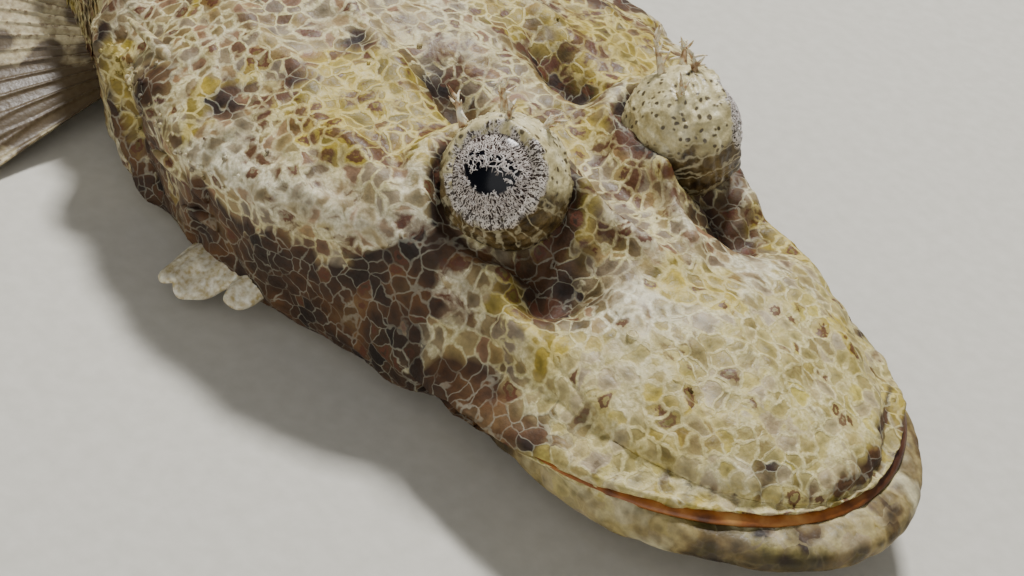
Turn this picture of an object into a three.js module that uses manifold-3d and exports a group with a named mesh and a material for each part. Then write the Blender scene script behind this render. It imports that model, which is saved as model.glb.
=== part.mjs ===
// A life-size still model of a crocodile flathead, lying on its belly on a flat floor.
// Millimetres. +X runs towards the snout, +Y to the fish's left and +Z up. The origin is on the
// flat of the belly, under the base of the pectoral fins.
import * as THREE from "three";
import { mergeVertices } from "three/addons/utils/BufferGeometryUtils.js";
import Module from "manifold-3d";

const wasm = await Module();
wasm.setup();

// Driving dimensions of the fish
const SNOUT_X = 162; // tip of the upper jaw
const CHIN_X = 170; // tip of the lower jaw, which sticks out past the upper one
const JAW_HINGE_X = 108; // where the lower jaw meets the throat
const SNOUT_CENTRE_X = 112.5; // centre of the ellipse that the snout follows in plan
const SNOUT_HALF = 36; // half width of the upper lip at that centre
const CHIN_HALF = 37.2; // half width of the lower jaw there
const RIDGE_HALF = 29; // half width of the bony ridge above the lip there
const TAIL_BASE_X = -258; // end of the flesh, where the tail fin starts
const GILL_X = 14; // where the gill covers end, high on the side
const GAP = 0.3; // space left between pieces that touch
const MOUTH_TIP_Z = 19.8; // height of the mouth line at the tip
const MOUTH_SLOPE = 0.095; // how much the mouth line falls towards the corner
const MOUTH_OPEN = 0.9; // how far the mouth stands open
const LIP_ROLL = 1.1; // how far the rounded upper lip stands out from the side of the snout
const EYE_X = 98; // middle of the eyes along the head
const EYE_Y = 18; // middle of each eye out from the midline
const EYE_Z = 40; // height of the middle of the eyes
const EYE_LONG = 10.6; // half length of an eye
const EYE_WIDE = 9.8; // half width of an eye
const EYE_TALL = 10.8; // half height of an eye
const EYE_LOOK = [0.45, 0.71, 0.54]; // way the left eye looks
const LID_RADIUS = 7.2; // radius of the round lid about the iris
const LID_THICK = 1.1; // half thickness of that lid

// Colours of the live skin
const SKIN = new THREE.MeshStandardMaterial({ color: 0xb9ab84, roughness: 0.62, metalness: 0 });
const JAW_SKIN = new THREE.MeshStandardMaterial({ color: 0xa89a74, roughness: 0.58, metalness: 0 });
const BELLY_SKIN = new THREE.MeshStandardMaterial({ color: 0xa99c78, roughness: 0.62, metalness: 0 });
const EYE_SKIN = new THREE.MeshStandardMaterial({ color: 0x8f8466, roughness: 0.35, metalness: 0 });
const FIN_SKIN = new THREE.MeshStandardMaterial({ color: 0x9d8f66, roughness: 0.6, metalness: 0 });

// A smooth curve through [x, value] pairs, with flat ends and no overshoot.
function profile(pairs) {
  const last = pairs.length - 1;
  const slope = (i) => (pairs[i + 1][1] - pairs[i][1]) / (pairs[i + 1][0] - pairs[i][0]);
  const tangent = pairs.map((_, i) => {
    if (i === 0 || i === last) return 0;
    const before = slope(i - 1);
    const after = slope(i);
    return before * after <= 0 ? 0 : (2 * before * after) / (before + after);
  });
  return (x) => {
    if (x <= pairs[0][0]) return pairs[0][1];
    if (x >= pairs[last][0]) return pairs[last][1];
    const i = pairs.findIndex((pair) => pair[0] > x) - 1;
    const width = pairs[i + 1][0] - pairs[i][0];
    const t = (x - pairs[i][0]) / width;
    const keep = 1 - t;
    return (
      keep * keep * (1 + 2 * t) * pairs[i][1] +
      t * t * (3 - 2 * t) * pairs[i + 1][1] +
      width * t * keep * (keep * tangent[i] - t * tangent[i + 1])
    );
  };
}

// Lines of the flesh from the tail base to the snout: each pair is a station and a size.
const backLine = profile([
  [-258, 31], [-210, 31.5], [-150, 38], [-90, 45], [-30, 49.5], [10, 48], [50, 44.5], [80, 41],
  [98, 38], [120, 34.5], [140, 31], [162, 27],
]);
const bellyLine = profile([
  [-258, 12], [-210, 11], [-150, 6], [-105, 1], [-75, -1.2], [60, -1.2], [85, 1], [110, 3],
  [140, 4.5], [162, 7], [170, 11],
]);
const shoulderHalf = profile([
  [-258, 7.5], [-210, 12.5], [-150, 20], [-90, 28.5], [-30, 36], [8, 39], [16, 45], [35, 48.5],
  [55, 49.5], [71, 47], [84, 42], [98, 32.5], [112.5, RIDGE_HALF],
]);
const shoulderZ = profile([
  [-258, 21.5], [-210, 21.5], [-150, 23], [-90, 26], [-30, 28.5], [8, 29], [55, 28], [71, 29],
  [84, 30.5], [98, 28], [112.5, 24.5], [135, 22.5], [162, 20.5],
]);
const edgeHalf = profile([
  [-258, 7.5], [-210, 12], [-150, 19.5], [-90, 27.5], [-30, 34.5], [8, 37], [16, 41.5], [35, 45],
  [55, 46], [71, 43.5], [84, 39.5], [98, 36.5], [112.5, SNOUT_HALF],
]);
const edgeZ = profile([
  [-258, 18], [-210, 16.5], [-150, 14], [-90, 12], [-30, 10.5], [15, 10], [55, 10.5], [71, 11.5],
  [90, 12.5], [112.5, 15], [162, 19.8],
]);
const backPower = profile([[-258, 1], [0, 1], [40, 0.8], [100, 0.62], [162, 0.7]]);

const lerp = THREE.MathUtils.lerp;
const mouthZ = (x) => MOUTH_TIP_Z + MOUTH_SLOPE * (x - SNOUT_X);
const ellipse = (x, tip) => Math.sqrt(Math.max(0, 1 - ((x - SNOUT_CENTRE_X) / (tip - SNOUT_CENTRE_X)) ** 2));
const bell = (distance, width) => Math.exp(-((distance / width) ** 2));
const step = (x, from, to) => THREE.MathUtils.smoothstep(x, from, to);

// Ridges and hollows of the top of the head, as a height added at a place in plan.
function relief(x, y) {
  const side = Math.abs(y);
  const ring = Math.hypot((x - EYE_X) / 1.08, side - EYE_Y);
  const orbitRim = 2.6 * bell(ring - 12.6, 2.4);
  const betweenEyes = -2.2 * bell(y, 5.5) * bell(x - 96, 17);
  const frontPit = -6.5 * bell(Math.hypot((x - 113) / 1.15, side - 18.5), 6);
  const rearPit = -5.5 * bell(Math.hypot((x - 79) / 1.1, side - 13.5), 4.6);
  const browRidge = 2.4 * bell(side - 8.2, 2.1) * step(x, 82, 96) * (1 - step(x, 112, 126));
  const snoutHump = 1.6 * bell(y, 9) * bell(x - 137, 11);
  const cheekRidge = 1.8 * bell(side - 33, 2.6) * step(x, 66, 80) * (1 - step(x, 92, 104));
  const napeRidges = 1.7 * bell(side - 15, 3) * step(x, 14, 34) * (1 - step(x, 62, 76));
  const sideRidges = 1.3 * bell(side - 31, 3) * step(x, 10, 30) * (1 - step(x, 56, 70));
  const hollows = betweenEyes + frontPit + rearPit;
  return orbitRim + hollows + browRidge + snoutHump + cheekRidge + napeRidges + sideRidges;
}

const TOP_STEPS = 11; // facets from the middle of the back to the shoulder
const SIDE_STEPS = 4; // facets down the side
const UNDER_STEPS = 5; // facets from the lower edge to the middle of the belly

// Half a section of the flesh at x, from the middle of the back to the middle of the belly.
function halfSection(x, grow) {
  const tip = ellipse(Math.max(x, SNOUT_CENTRE_X), SNOUT_X);
  const rounding = Math.sqrt(tip);
  const shoulder = shoulderHalf(x) * tip + grow;
  const edge = edgeHalf(x) * tip + grow;
  const low = lerp(MOUTH_TIP_Z, shoulderZ(x), rounding);
  const top = lerp(MOUTH_TIP_Z, backLine(x), rounding) + grow;
  const lip = lerp(MOUTH_TIP_Z, edgeZ(x), rounding);
  const under = lerp(MOUTH_TIP_Z, bellyLine(x), rounding) - grow;
  const points = [];
  for (let i = 0; i <= TOP_STEPS; i += 1) {
    const turn = ((i / TOP_STEPS) * Math.PI) / 2;
    const y = shoulder * Math.sin(turn);
    const fade = 1 - step(y / Math.max(shoulder, 1), 0.82, 1);
    const crown = low + (top - low) * Math.cos(turn) ** (2 * backPower(x) - 0.4);
    points.push([y, crown + relief(x, y) * fade * rounding]);
  }
  for (let i = 1; i <= SIDE_STEPS; i += 1) {
    const t = i / SIDE_STEPS;
    const roll = LIP_ROLL * bell(t - 0.85, 0.22) * step(x, 96, 112) * tip;
    points.push([lerp(shoulder, edge, t) + roll, lerp(low, lip, t)]);
  }
  for (let i = 1; i <= UNDER_STEPS; i += 1) {
    const turn = ((i / UNDER_STEPS) * Math.PI) / 2;
    points.push([edge * Math.cos(turn) ** 0.72, lip - (lip - under) * Math.sin(turn) ** 0.72]);
  }
  return points;
}

function indexed(positions, index) {
  const geometry = new THREE.BufferGeometry();
  geometry.setAttribute("position", new THREE.Float32BufferAttribute(positions, 3));
  return geometry.setIndex(index);
}

// Joins rings of points into a closed body: each ring is [y, z] pairs at its own x.
function loftRings(stations, ringAt) {
  const rings = stations.map((x) => ringAt(x).map(([y, z]) => [x, y, z]));
  const count = rings[0].length;
  const positions = rings.flat(2);
  const index = [];
  for (let r = 0; r < rings.length - 1; r += 1)
    for (let i = 0; i < count; i += 1) {
      const next = (i + 1) % count;
      const a = r * count + i;
      const b = r * count + next;
      index.push(a, b, a + count, b, b + count, a + count);
    }
  [0, rings.length - 1].forEach((r, end) => {
    const centre = positions.length / 3;
    const mean = [0, 1, 2].map((k) => rings[r].reduce((sum, p) => sum + p[k], 0) / count);
    positions.push(...mean);
    for (let i = 0; i < count; i += 1) {
      const a = r * count + i;
      const b = r * count + ((i + 1) % count);
      if (end === 0) index.push(centre, b, a);
      else index.push(centre, a, b);
    }
  });
  return toSolid(indexed(positions, index));
}

// Turns a closed geometry into a solid that can be joined and cut, with its faces pointing out.
function toSolid(geometry) {
  const bare = geometry.clone();
  bare.deleteAttribute("normal");
  bare.deleteAttribute("uv");
  const merged = mergeVertices(bare, 1e-4);
  const vertProperties = new Float32Array(merged.attributes.position.array);
  const build = (triVerts) => new wasm.Manifold(new wasm.Mesh({ numProp: 3, vertProperties, triVerts }));
  const triVerts = new Uint32Array(merged.index.array);
  const solid = build(triVerts);
  if (solid.volume() > 0) return solid;
  for (let i = 0; i < triVerts.length; i += 3) triVerts.subarray(i, i + 3).reverse();
  return build(triVerts);
}

// A box, ball or cone of three.js placed by a matrix, as a solid.
function placed(geometry, position, rotation = [0, 0, 0], scale = [1, 1, 1]) {
  const matrix = new THREE.Matrix4().compose(
    new THREE.Vector3(...position),
    new THREE.Quaternion().setFromEuler(new THREE.Euler(...rotation)),
    new THREE.Vector3(...scale),
  );
  return toSolid(geometry.clone().applyMatrix4(matrix));
}

const largest = (solid) => solid.decompose().sort((a, b) => b.volume() - a.volume())[0];

function mirrorRing(half) {
  const left = half;
  const right = half.slice(1, -1).reverse().map(([y, z]) => [-y, z]);
  return [...left, ...right];
}

// The flesh as one body, from the tail base to the snout, grown outwards by an allowance.
function flesh(grow = 0) {
  const stations = [];
  const bodyRings = 24;
  for (let i = 0; i <= bodyRings; i += 1)
    stations.push(lerp(TAIL_BASE_X - grow, 6, i / bodyRings));
  for (let x = 9; x < 62; x += 5.3) stations.push(x);
  for (let x = 63; x < 112; x += 3.5) stations.push(x);
  const snoutRings = 13;
  for (let i = 0; i <= snoutRings; i += 1) {
    const turn = (i / snoutRings) * (Math.PI / 2) * 0.985;
    stations.push(SNOUT_CENTRE_X + (SNOUT_X - SNOUT_CENTRE_X) * Math.sin(turn));
  }
  return loftRings(stations, (x) => mirrorRing(halfSection(x, grow)));
}

const FLOOR = placed(new THREE.BoxGeometry(700, 400, 60), [-80, 0, -30]);
const slabTurn = Math.atan(MOUTH_SLOPE);

// Everything under the mouth line in front of the jaw hinge
function belowMouth() {
  const depth = 60;
  return placed(
    new THREE.BoxGeometry(120, 200, depth),
    [JAW_HINGE_X - GAP + 60, 0, mouthZ(JAW_HINGE_X + 60) - depth / 2 + MOUTH_OPEN / 2],
    [0, -slabTurn, 0],
  );
}

// A gill edge that leans forward as it goes down, as a thin curved wall across the body
function gillCut(thickness) {
  const shape = new THREE.Shape();
  const steps = 8;
  const at = (t) => [GILL_X + 30 * t ** 1.6, 60 - 62 * t];
  const front = [];
  const back = [];
  for (let i = 0; i <= steps; i += 1) {
    const [x, z] = at(i / steps);
    front.push([x + thickness, z]);
    back.push([x, z]);
  }
  shape.moveTo(...front[0]);
  front.slice(1).forEach((p) => shape.lineTo(...p));
  back.reverse().forEach((p) => shape.lineTo(...p));
  const wall = new THREE.ExtrudeGeometry(shape, { depth: 160, bevelEnabled: false });
  return placed(wall, [0, 80, 0], [Math.PI / 2, 0, 0]);
}

function crossCut(x) {
  return placed(new THREE.BoxGeometry(GAP, 200, 200), [x, 0, 20]);
}

// The lower jaw: a flat topped scoop that follows a wider ellipse than the upper lip.
function lowerJaw() {
  const stations = [];
  const rings = 16;
  const first = Math.asin((JAW_HINGE_X - 6 - SNOUT_CENTRE_X) / (CHIN_X - SNOUT_CENTRE_X));
  const last = (Math.PI / 2) * 0.985;
  for (let i = 0; i <= rings; i += 1)
    stations.push(SNOUT_CENTRE_X + (CHIN_X - SNOUT_CENTRE_X) * Math.sin(lerp(first, last, i / rings)));
  const around = 26;
  return loftRings(stations, (x) => {
    const tip = ellipse(Math.max(x, SNOUT_CENTRE_X), CHIN_X);
    const rounding = tip ** 0.55;
    const half = CHIN_HALF * tip * lerp(0.93, 1, step(x, 108, 132));
    const middle = lerp(14.5, 11, rounding);
    const top = lerp(middle, mouthZ(x) - MOUTH_OPEN / 2, rounding);
    const under = lerp(middle, bellyLine(x), rounding);
    const ring = [];
    for (let i = 0; i < around; i += 1) {
      const turn = Math.PI / 2 - (i / around) * 2 * Math.PI;
      const s = Math.sin(turn);
      const c = Math.cos(turn);
      const y = half * Math.sign(c) * Math.abs(c) ** 0.6;
      const rise = s > 0 ? (top - middle) * s ** 0.6 : (under - middle) * Math.abs(s) ** 0.8;
      ring.push([y, middle + rise]);
    }
    return ring;
  });
}

const SIDES = [["right", -1], ["left", 1]];

function eyeBall(side, grow = 0) {
  const ball = new THREE.SphereGeometry(1, 18, 12);
  const size = [EYE_LONG + grow, EYE_TALL + grow, EYE_WIDE + grow];
  return placed(ball, [EYE_X, side * EYE_Y, EYE_Z], [Math.PI / 2, 0, 0], size);
}

// The round lid about the iris, on the outer side of an eye
function eyeLid(side) {
  const look = new THREE.Vector3(EYE_LOOK[0], side * EYE_LOOK[1], EYE_LOOK[2]).normalize();
  const turn = new THREE.Quaternion().setFromUnitVectors(new THREE.Vector3(0, 0, 1), look);
  const out = Math.sqrt(EYE_WIDE ** 2 - LID_RADIUS ** 2) + 0.3;
  const centre = new THREE.Vector3(EYE_X, side * EYE_Y, EYE_Z).addScaledVector(look, out);
  const ring = new THREE.TorusGeometry(LID_RADIUS, LID_THICK, 6, 20);
  return toSolid(ring.applyMatrix4(new THREE.Matrix4().compose(centre, turn, new THREE.Vector3(1, 1, 1))));
}

// A tapered cone whose root sits at a point and whose tip points along a direction
function spike(root, direction, length, radius, sides = 5) {
  const along = new THREE.Vector3(...direction).normalize();
  const turn = new THREE.Quaternion().setFromUnitVectors(new THREE.Vector3(0, 1, 0), along);
  const cone = new THREE.ConeGeometry(radius, length, sides);
  const centre = new THREE.Vector3(...root).addScaledVector(along, length / 2);
  return toSolid(cone.applyMatrix4(new THREE.Matrix4().compose(centre, turn, new THREE.Vector3(1, 1, 1))));
}

// Branching skin flaps on top of an eye: each is a stalk with two or three short tips.
function eyeFlaps(side) {
  const flaps = [];
  const stalks = [[-5.2, -2.2, 9.2], [-1.2, 1.5, 10.4], [-6.8, 4.2, 8], [3.4, 4.6, 9.3]];
  stalks.forEach(([dx, dy, dz], i) => {
    const root = [EYE_X + dx, side * (EYE_Y + dy), EYE_Z + dz - 1.6];
    const lean = [dx * 0.09, side * dy * 0.1, 1];
    flaps.push(spike(root, lean, 6.4 - 0.4 * i, 1));
    flaps.push(spike([root[0], root[1], root[2] + 1.8], [lean[0] - 0.7, lean[1], 1], 4.2, 0.8));
    flaps.push(spike([root[0], root[1], root[2] + 1.8], [lean[0] + 0.6, lean[1] + side * 0.3, 1], 3.8, 0.8));
  });
  return flaps;
}

// A fin of rays joined by a thin skin. spread(f) gives the root, direction, length and bend of the
// ray at fraction f. Each ray is a ridge on both faces, and the skin between two rays stops short.
function fin(rays, spread, { rows = 6, root = 2.2, tip = 0.8, skin = 0.5, notch = 0.93 }) {
  const columns = 2 * rays - 1;
  const middle = [];
  for (let c = 0; c < columns; c += 1) {
    const { at, along, length, bend } = spread(c / (columns - 1));
    const reach = length * (c % 2 === 0 ? 1 : notch);
    const start = new THREE.Vector3(...at);
    const way = new THREE.Vector3(...along).normalize();
    const droop = new THREE.Vector3(...bend);
    middle.push(
      Array.from({ length: rows + 1 }, (_, r) => {
        const t = r / rows;
        return start.clone().addScaledVector(way, reach * t).addScaledVector(droop, t * t);
      }),
    );
  }
  const pick = (c, r) => middle[THREE.MathUtils.clamp(c, 0, columns - 1)][THREE.MathUtils.clamp(r, 0, rows)];
  const positions = [];
  const faces = [1, -1];
  faces.forEach((face) => {
    for (let c = 0; c < columns; c += 1)
      for (let r = 0; r <= rows; r += 1) {
        const across = pick(c + 1, r).clone().sub(pick(c - 1, r));
        const out = pick(c, r + 1).clone().sub(pick(c, r - 1));
        const normal = across.cross(out).normalize();
        const share = c % 2 === 0 ? 1 : skin;
        const half = (lerp(root, tip, r / rows) * share) / 2;
        const p = pick(c, r).clone().addScaledVector(normal, face * half);
        positions.push(p.x, p.y, p.z);
      }
  });
  const stride = rows + 1;
  const under = columns * stride;
  const index = [];
  for (let c = 0; c < columns - 1; c += 1)
    for (let r = 0; r < rows; r += 1) {
      const a = c * stride + r;
      const b = a + stride;
      index.push(a, b, a + 1, b, b + 1, a + 1);
      index.push(under + a, under + a + 1, under + b, under + b, under + a + 1, under + b + 1);
    }
  const rim = [];
  for (let c = 0; c < columns; c += 1) rim.push(c * stride);
  for (let r = 1; r <= rows; r += 1) rim.push((columns - 1) * stride + r);
  for (let c = columns - 2; c >= 0; c -= 1) rim.push(c * stride + rows);
  for (let r = rows - 1; r > 0; r -= 1) rim.push(r);
  rim.forEach((a, i) => {
    const b = rim[(i + 1) % rim.length];
    index.push(a, under + a, b, b, under + a, under + b);
  });
  return toSolid(indexed(positions, index));
}

const mix = (a, b, t) => a.map((v, k) => lerp(v, b[k], t));

function pectoralFin(side) {
  return fin(
    15,
    (f) => {
      const turn = lerp(3.35, 1.25, f); // from backwards round to a little forwards
      const fall = lerp(0.1, -0.17, f);
      return {
        at: [lerp(-6, 3, f), side * lerp(33, 32, f), lerp(22, 9, f)],
        along: [Math.cos(turn), side * Math.abs(Math.sin(turn)) + side * 0.22, fall],
        length: 38 + 26 * Math.sin(Math.PI * THREE.MathUtils.clamp(f * 0.9 + 0.12, 0, 1)),
        bend: [0, 0, -3 - 3 * (1 - f)],
      };
    },
    { rows: 5, root: 2.4, tip: 1, notch: 0.97 },
  );
}

function pelvicFin(side) {
  return fin(
    8,
    (f) => {
      const turn = lerp(1.75, 2.95, f);
      return {
        at: [lerp(-12, -24, f), side * lerp(27, 20, f), 4.2],
        along: [Math.cos(turn), side * Math.sin(turn), -0.045],
        length: 48 + 30 * Math.sin(Math.PI * THREE.MathUtils.clamp(0.25 + 0.6 * f, 0, 1)),
        bend: [-6, 0, -0.6],
      };
    },
    { rows: 6, root: 2.6, tip: 1.2 },
  );
}

function firstDorsal() {
  const reach = profile([[0, 16], [0.14, 34], [0.3, 38], [0.6, 30], [0.85, 18], [1, 10]]);
  return fin(
    9,
    (f) => {
      const x = lerp(-6, -66, f);
      return {
        at: [x, 0, backLine(x) - 4],
        along: [-0.75 - 0.5 * f, 0.05, 1 - 0.45 * f],
        length: reach(f),
        bend: [-3, 1.5, -1],
      };
    },
    { rows: 5, root: 2.2, tip: 0.8, notch: 0.78 },
  );
}

function secondDorsal() {
  const reach = profile([[0, 26], [0.12, 33], [0.5, 29], [1, 20]]);
  return fin(
    11,
    (f) => {
      const x = lerp(-82, -196, f);
      return {
        at: [x, 0, backLine(x) - 4],
        along: [-0.85 - 0.35 * f, -0.04, 0.8],
        length: reach(f),
        bend: [-3, -1.5, -1.5],
      };
    },
    { rows: 5, root: 2, tip: 0.8, notch: 0.92 },
  );
}

function analFin() {
  return fin(
    11,
    (f) => {
      const x = lerp(-92, -202, f);
      const low = bellyLine(x);
      return {
        at: [x, 0, low + 4],
        along: [-0.72, 0.62, -0.16 - 0.016 * low],
        length: 26 - 4 * f,
        bend: [-2, 2, -2.2],
      };
    },
    { rows: 5, root: 2, tip: 0.9, notch: 0.92 },
  );
}

function tailFin() {
  return fin(
    13,
    (f) => {
      const turn = lerp(-0.235, 0.36, f);
      return {
        at: [TAIL_BASE_X + 5, 0, lerp(14, 29, f)],
        along: [-Math.cos(turn), 0, Math.sin(turn)],
        length: 74 - 12 * (2 * f - 1) ** 2,
        bend: [0, 3, 0],
      };
    },
    { rows: 7, root: 3, tip: 1, notch: 0.96 },
  );
}

// A pale skin lobe under the edge of the cheek, with a smaller one in front of it
function cheekFlap(side) {
  const lobe = (x, length, width) =>
    fin(
      4,
      (f) => ({
        at: [x - width * f, side * 38, 10.5],
        along: [0.12 - 0.3 * f, side, -0.28],
        length: 9 + length * Math.sin(Math.PI * (0.2 + 0.6 * f)),
        bend: [0, 0, -1],
      }),
      { rows: 4, root: 3, tip: 1.6, notch: 0.97 },
    );
  return lobe(72, 9, 17);
}

const body = flesh();
const bodyGrown = flesh(GAP);
const clearOfBody = (solid) => largest(solid.subtract(bodyGrown).subtract(FLOOR));

const throat = placed(new THREE.BoxGeometry(400, 300, 300), [JAW_HINGE_X - 200, 0, 0]);
const jaw = largest(lowerJaw().subtract(throat));

// The flesh is modelled whole and parted with thin cuts.
const TRUNK_END_X = -92;
const TAIL_SPLIT_X = -190;
const cuts = [belowMouth(), gillCut(GAP), crossCut(TRUNK_END_X), crossCut(TAIL_SPLIT_X), FLOOR];
const pieces = cuts.reduce((solid, cut) => solid.subtract(cut), body).decompose();
const centreX = (solid) => {
  const box = solid.boundingBox();
  return (box.min[0] + box.max[0]) / 2;
};
const lengths = pieces.filter((solid) => solid.volume() > 500);
const [skull, trunk, tail, tailStalk] = lengths.sort((a, b) => centreX(b) - centreX(a));

// The gill covers are the hind sides of the head, parted from it by a thin cut.
const COVER_FRONT_X = 47;
const COVER_TOP_HALF = 24;
function coverBox(side, shrink) {
  const long = 120;
  const wide = 80;
  const box = new THREE.BoxGeometry(long, wide, 200);
  const middleY = side * (COVER_TOP_HALF + shrink + wide / 2);
  return placed(box, [COVER_FRONT_X - shrink - long / 2, middleY, 0]);
}
const covers = SIDES.map(([, side]) => largest(skull.intersect(coverBox(side, GAP))));
const head = largest(SIDES.reduce((solid, [, side]) => solid.subtract(coverBox(side, 0)), skull));

const NOSTRILS = [[139, 14], [130, 15.5]]; // nostrils: along the head and out from its middle
const NOSTRIL_Z = 30.4; // middle of the short nostril tubes

// Head spines and nostrils, fused to the head, and the sockets for the eyes
function headExtras() {
  const extras = [];
  SIDES.forEach(([, side]) => {
    extras.push(spike([60, side * 47, 22], [-1, side * 0.3, 0.12], 13, 2.6, 6));
    extras.push(spike([62, side * 46, 17], [-1, side * 0.34, -0.1], 8, 2.2, 6));
    for (let i = 0; i < 4; i += 1) {
      const turn = 0.5 + i * 0.62;
      const x = EYE_X + 12.6 * Math.cos(turn);
      const y = side * (EYE_Y - 11.6 * Math.sin(turn));
      extras.push(spike([x, y, 38.6], [-0.8, side * -0.15, 0.9], 5, 1.8));
    }
    NOSTRILS.forEach(([x, y]) => {
      const tube = new THREE.CylinderGeometry(1.1, 1.7, 4.4, 8);
      extras.push(placed(tube, [x, side * y, NOSTRIL_Z], [Math.PI / 2, 0, 0]));
    });
  });
  return extras;
}

// Each gill cover ends in a spine that lies along its upper edge.
const coverSolids = SIDES.map(([, side], i) => {
  const spine = spike([42, side * 43, 34], [-1, side * 0.12, 0.12], 16, 2.4, 6);
  return largest(covers[i].add(spine.subtract(trunk)));
});

let headSolid = head;
headExtras().forEach((extra) => {
  headSolid = headSolid.add(extra);
});
SIDES.forEach(([, side]) => {
  headSolid = headSolid.subtract(eyeBall(side, GAP));
  NOSTRILS.forEach(([x, y]) => {
    const bore = new THREE.CylinderGeometry(0.6, 0.6, 3, 6);
    headSolid = headSolid.subtract(placed(bore, [x, side * y, NOSTRIL_Z + 2.6], [Math.PI / 2, 0, 0]));
  });
});
headSolid = largest(headSolid);

const group = new THREE.Group();
function addNode(name, solid, material) {
  const { vertProperties, triVerts, numProp } = solid.getMesh();
  const positions = new Float32Array((vertProperties.length / numProp) * 3);
  for (let i = 0; i < positions.length / 3; i += 1)
    positions.set(vertProperties.subarray(i * numProp, i * numProp + 3), i * 3);
  const geometry = indexed(positions, Array.from(triVerts));
  geometry.computeVertexNormals();
  const mesh = new THREE.Mesh(geometry, material);
  mesh.name = name;
  group.add(mesh);
}

addNode("head", headSolid, SKIN);
coverSolids.forEach((solid, i) => addNode(`gill_cover_${SIDES[i][0]}`, solid, SKIN));
addNode("lower_jaw", jaw, JAW_SKIN);
addNode("trunk", trunk, BELLY_SKIN);
addNode("tail", tail, SKIN);
addNode("tail_stalk", tailStalk, SKIN);
SIDES.forEach(([name, side]) => {
  let eye = eyeBall(side).add(eyeLid(side));
  eyeFlaps(side).forEach((flap) => {
    eye = eye.add(flap);
  });
  addNode(`eye_${name}`, largest(eye), EYE_SKIN);
  addNode(`pectoral_fin_${name}`, clearOfBody(pectoralFin(side)), FIN_SKIN);
  addNode(`pelvic_fin_${name}`, clearOfBody(pelvicFin(side)), FIN_SKIN);
  addNode(`cheek_flap_${name}`, clearOfBody(cheekFlap(side)), SKIN);
});
addNode("first_dorsal_fin", clearOfBody(firstDorsal()), FIN_SKIN);
addNode("second_dorsal_fin", clearOfBody(secondDorsal()), FIN_SKIN);
addNode("anal_fin", clearOfBody(analFin()), FIN_SKIN);
addNode("tail_fin", clearOfBody(tailFin()), FIN_SKIN);

export default group;
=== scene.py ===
import math

import bpy
import numpy as np
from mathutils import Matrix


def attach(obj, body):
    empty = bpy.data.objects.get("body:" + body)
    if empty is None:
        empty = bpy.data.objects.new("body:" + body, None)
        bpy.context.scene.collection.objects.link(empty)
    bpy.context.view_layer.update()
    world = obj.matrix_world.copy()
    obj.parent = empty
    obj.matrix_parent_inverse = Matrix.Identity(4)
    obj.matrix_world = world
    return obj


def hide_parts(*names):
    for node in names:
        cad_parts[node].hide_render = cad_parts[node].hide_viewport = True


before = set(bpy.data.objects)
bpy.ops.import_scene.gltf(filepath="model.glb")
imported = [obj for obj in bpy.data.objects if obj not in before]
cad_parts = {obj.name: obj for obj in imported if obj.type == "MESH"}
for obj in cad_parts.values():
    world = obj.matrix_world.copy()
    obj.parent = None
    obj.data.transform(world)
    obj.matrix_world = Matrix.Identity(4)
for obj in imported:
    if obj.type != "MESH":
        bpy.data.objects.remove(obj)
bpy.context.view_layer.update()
MM = 0.001

# The view: a long lens close above the right side of the head, tilted as the photo is. The place of
# the lens is worked out round a point on the head, 20 mm above the floor.
VIEW_POINT = np.array([117.0, 0.0, 20.0]) * MM
VIEW_AZIMUTH, VIEW_HEIGHT, VIEW_ROLL = math.radians(47.5), math.radians(35.6), math.radians(10.3)
VIEW_DISTANCE, VIEW_ASIDE, VIEW_UP = 320 * MM, -21.6 * MM, 5.6 * MM
FOCAL_PIXELS, FRAME_WIDTH_PIXELS = 2035, 1024
SENSOR_WIDTH = 36
NEAREST_SEEN = 10 * MM


def unit(vectors):
    """The same directions at length 1."""
    return vectors / np.linalg.norm(vectors, axis=-1, keepdims=True)


def stand(name, data, right, up, back, place):
    """A new object for a camera or a lamp, turned to its three axes and moved to its place."""
    piece = bpy.data.objects.new(name, data)
    bpy.context.collection.objects.link(piece)
    turned = np.eye(4)
    turned[:3] = np.stack([right, up, back, place], -1)
    piece.matrix_world = turned.T
    return piece


def photo_camera():
    """A camera whose axes are the view direction's own right, up and back, turned by the roll."""
    back = np.array([
        math.cos(VIEW_HEIGHT) * math.sin(VIEW_AZIMUTH),
        -math.cos(VIEW_HEIGHT) * math.cos(VIEW_AZIMUTH),
        math.sin(VIEW_HEIGHT),
    ])
    level = unit(np.cross([0, 0, 1], back))
    steep = np.cross(back, level)
    right = math.cos(VIEW_ROLL) * level + math.sin(VIEW_ROLL) * steep
    up = -math.sin(VIEW_ROLL) * level + math.cos(VIEW_ROLL) * steep
    place = VIEW_POINT + VIEW_DISTANCE * back + VIEW_ASIDE * right + VIEW_UP * up
    data = bpy.data.cameras.new("photo_camera")
    data.sensor_width = SENSOR_WIDTH
    data.lens = FOCAL_PIXELS / FRAME_WIDTH_PIXELS * SENSOR_WIDTH
    data.clip_start = NEAREST_SEEN
    bpy.context.scene.camera = stand("photo_camera", data, right, up, back, place)


photo_camera()

# The flesh: head, lower jaw, gill covers, trunk and tail under one skin. Each half of the skin is a
# grid of ribs. Behind the eyes a rib is a cross section; round the snout the ribs fan out from the
# middle line to the lips, so that the blunt tip closes without a pole. Sizes are in millimetres.
SNOUT_X, CHIN_X, FAN_X, FAN_END_X, KEEL_END_X = 162.0, 169.2, 112.5, 150.0, 147.2
LIP_HALF, RIDGE_HALF, CHIN_HALF = 36.0, 29.0, 35.8
TAIL_BASE_X, TAIL_END_X, TAIL_MIDDLE_Z = -258.0, -266.0, 21.5
MOUTH_TIP_Z = 19.8
EYE_X, EYE_Y, EYE_Z = 98.0, 18.0, 40.0


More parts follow.
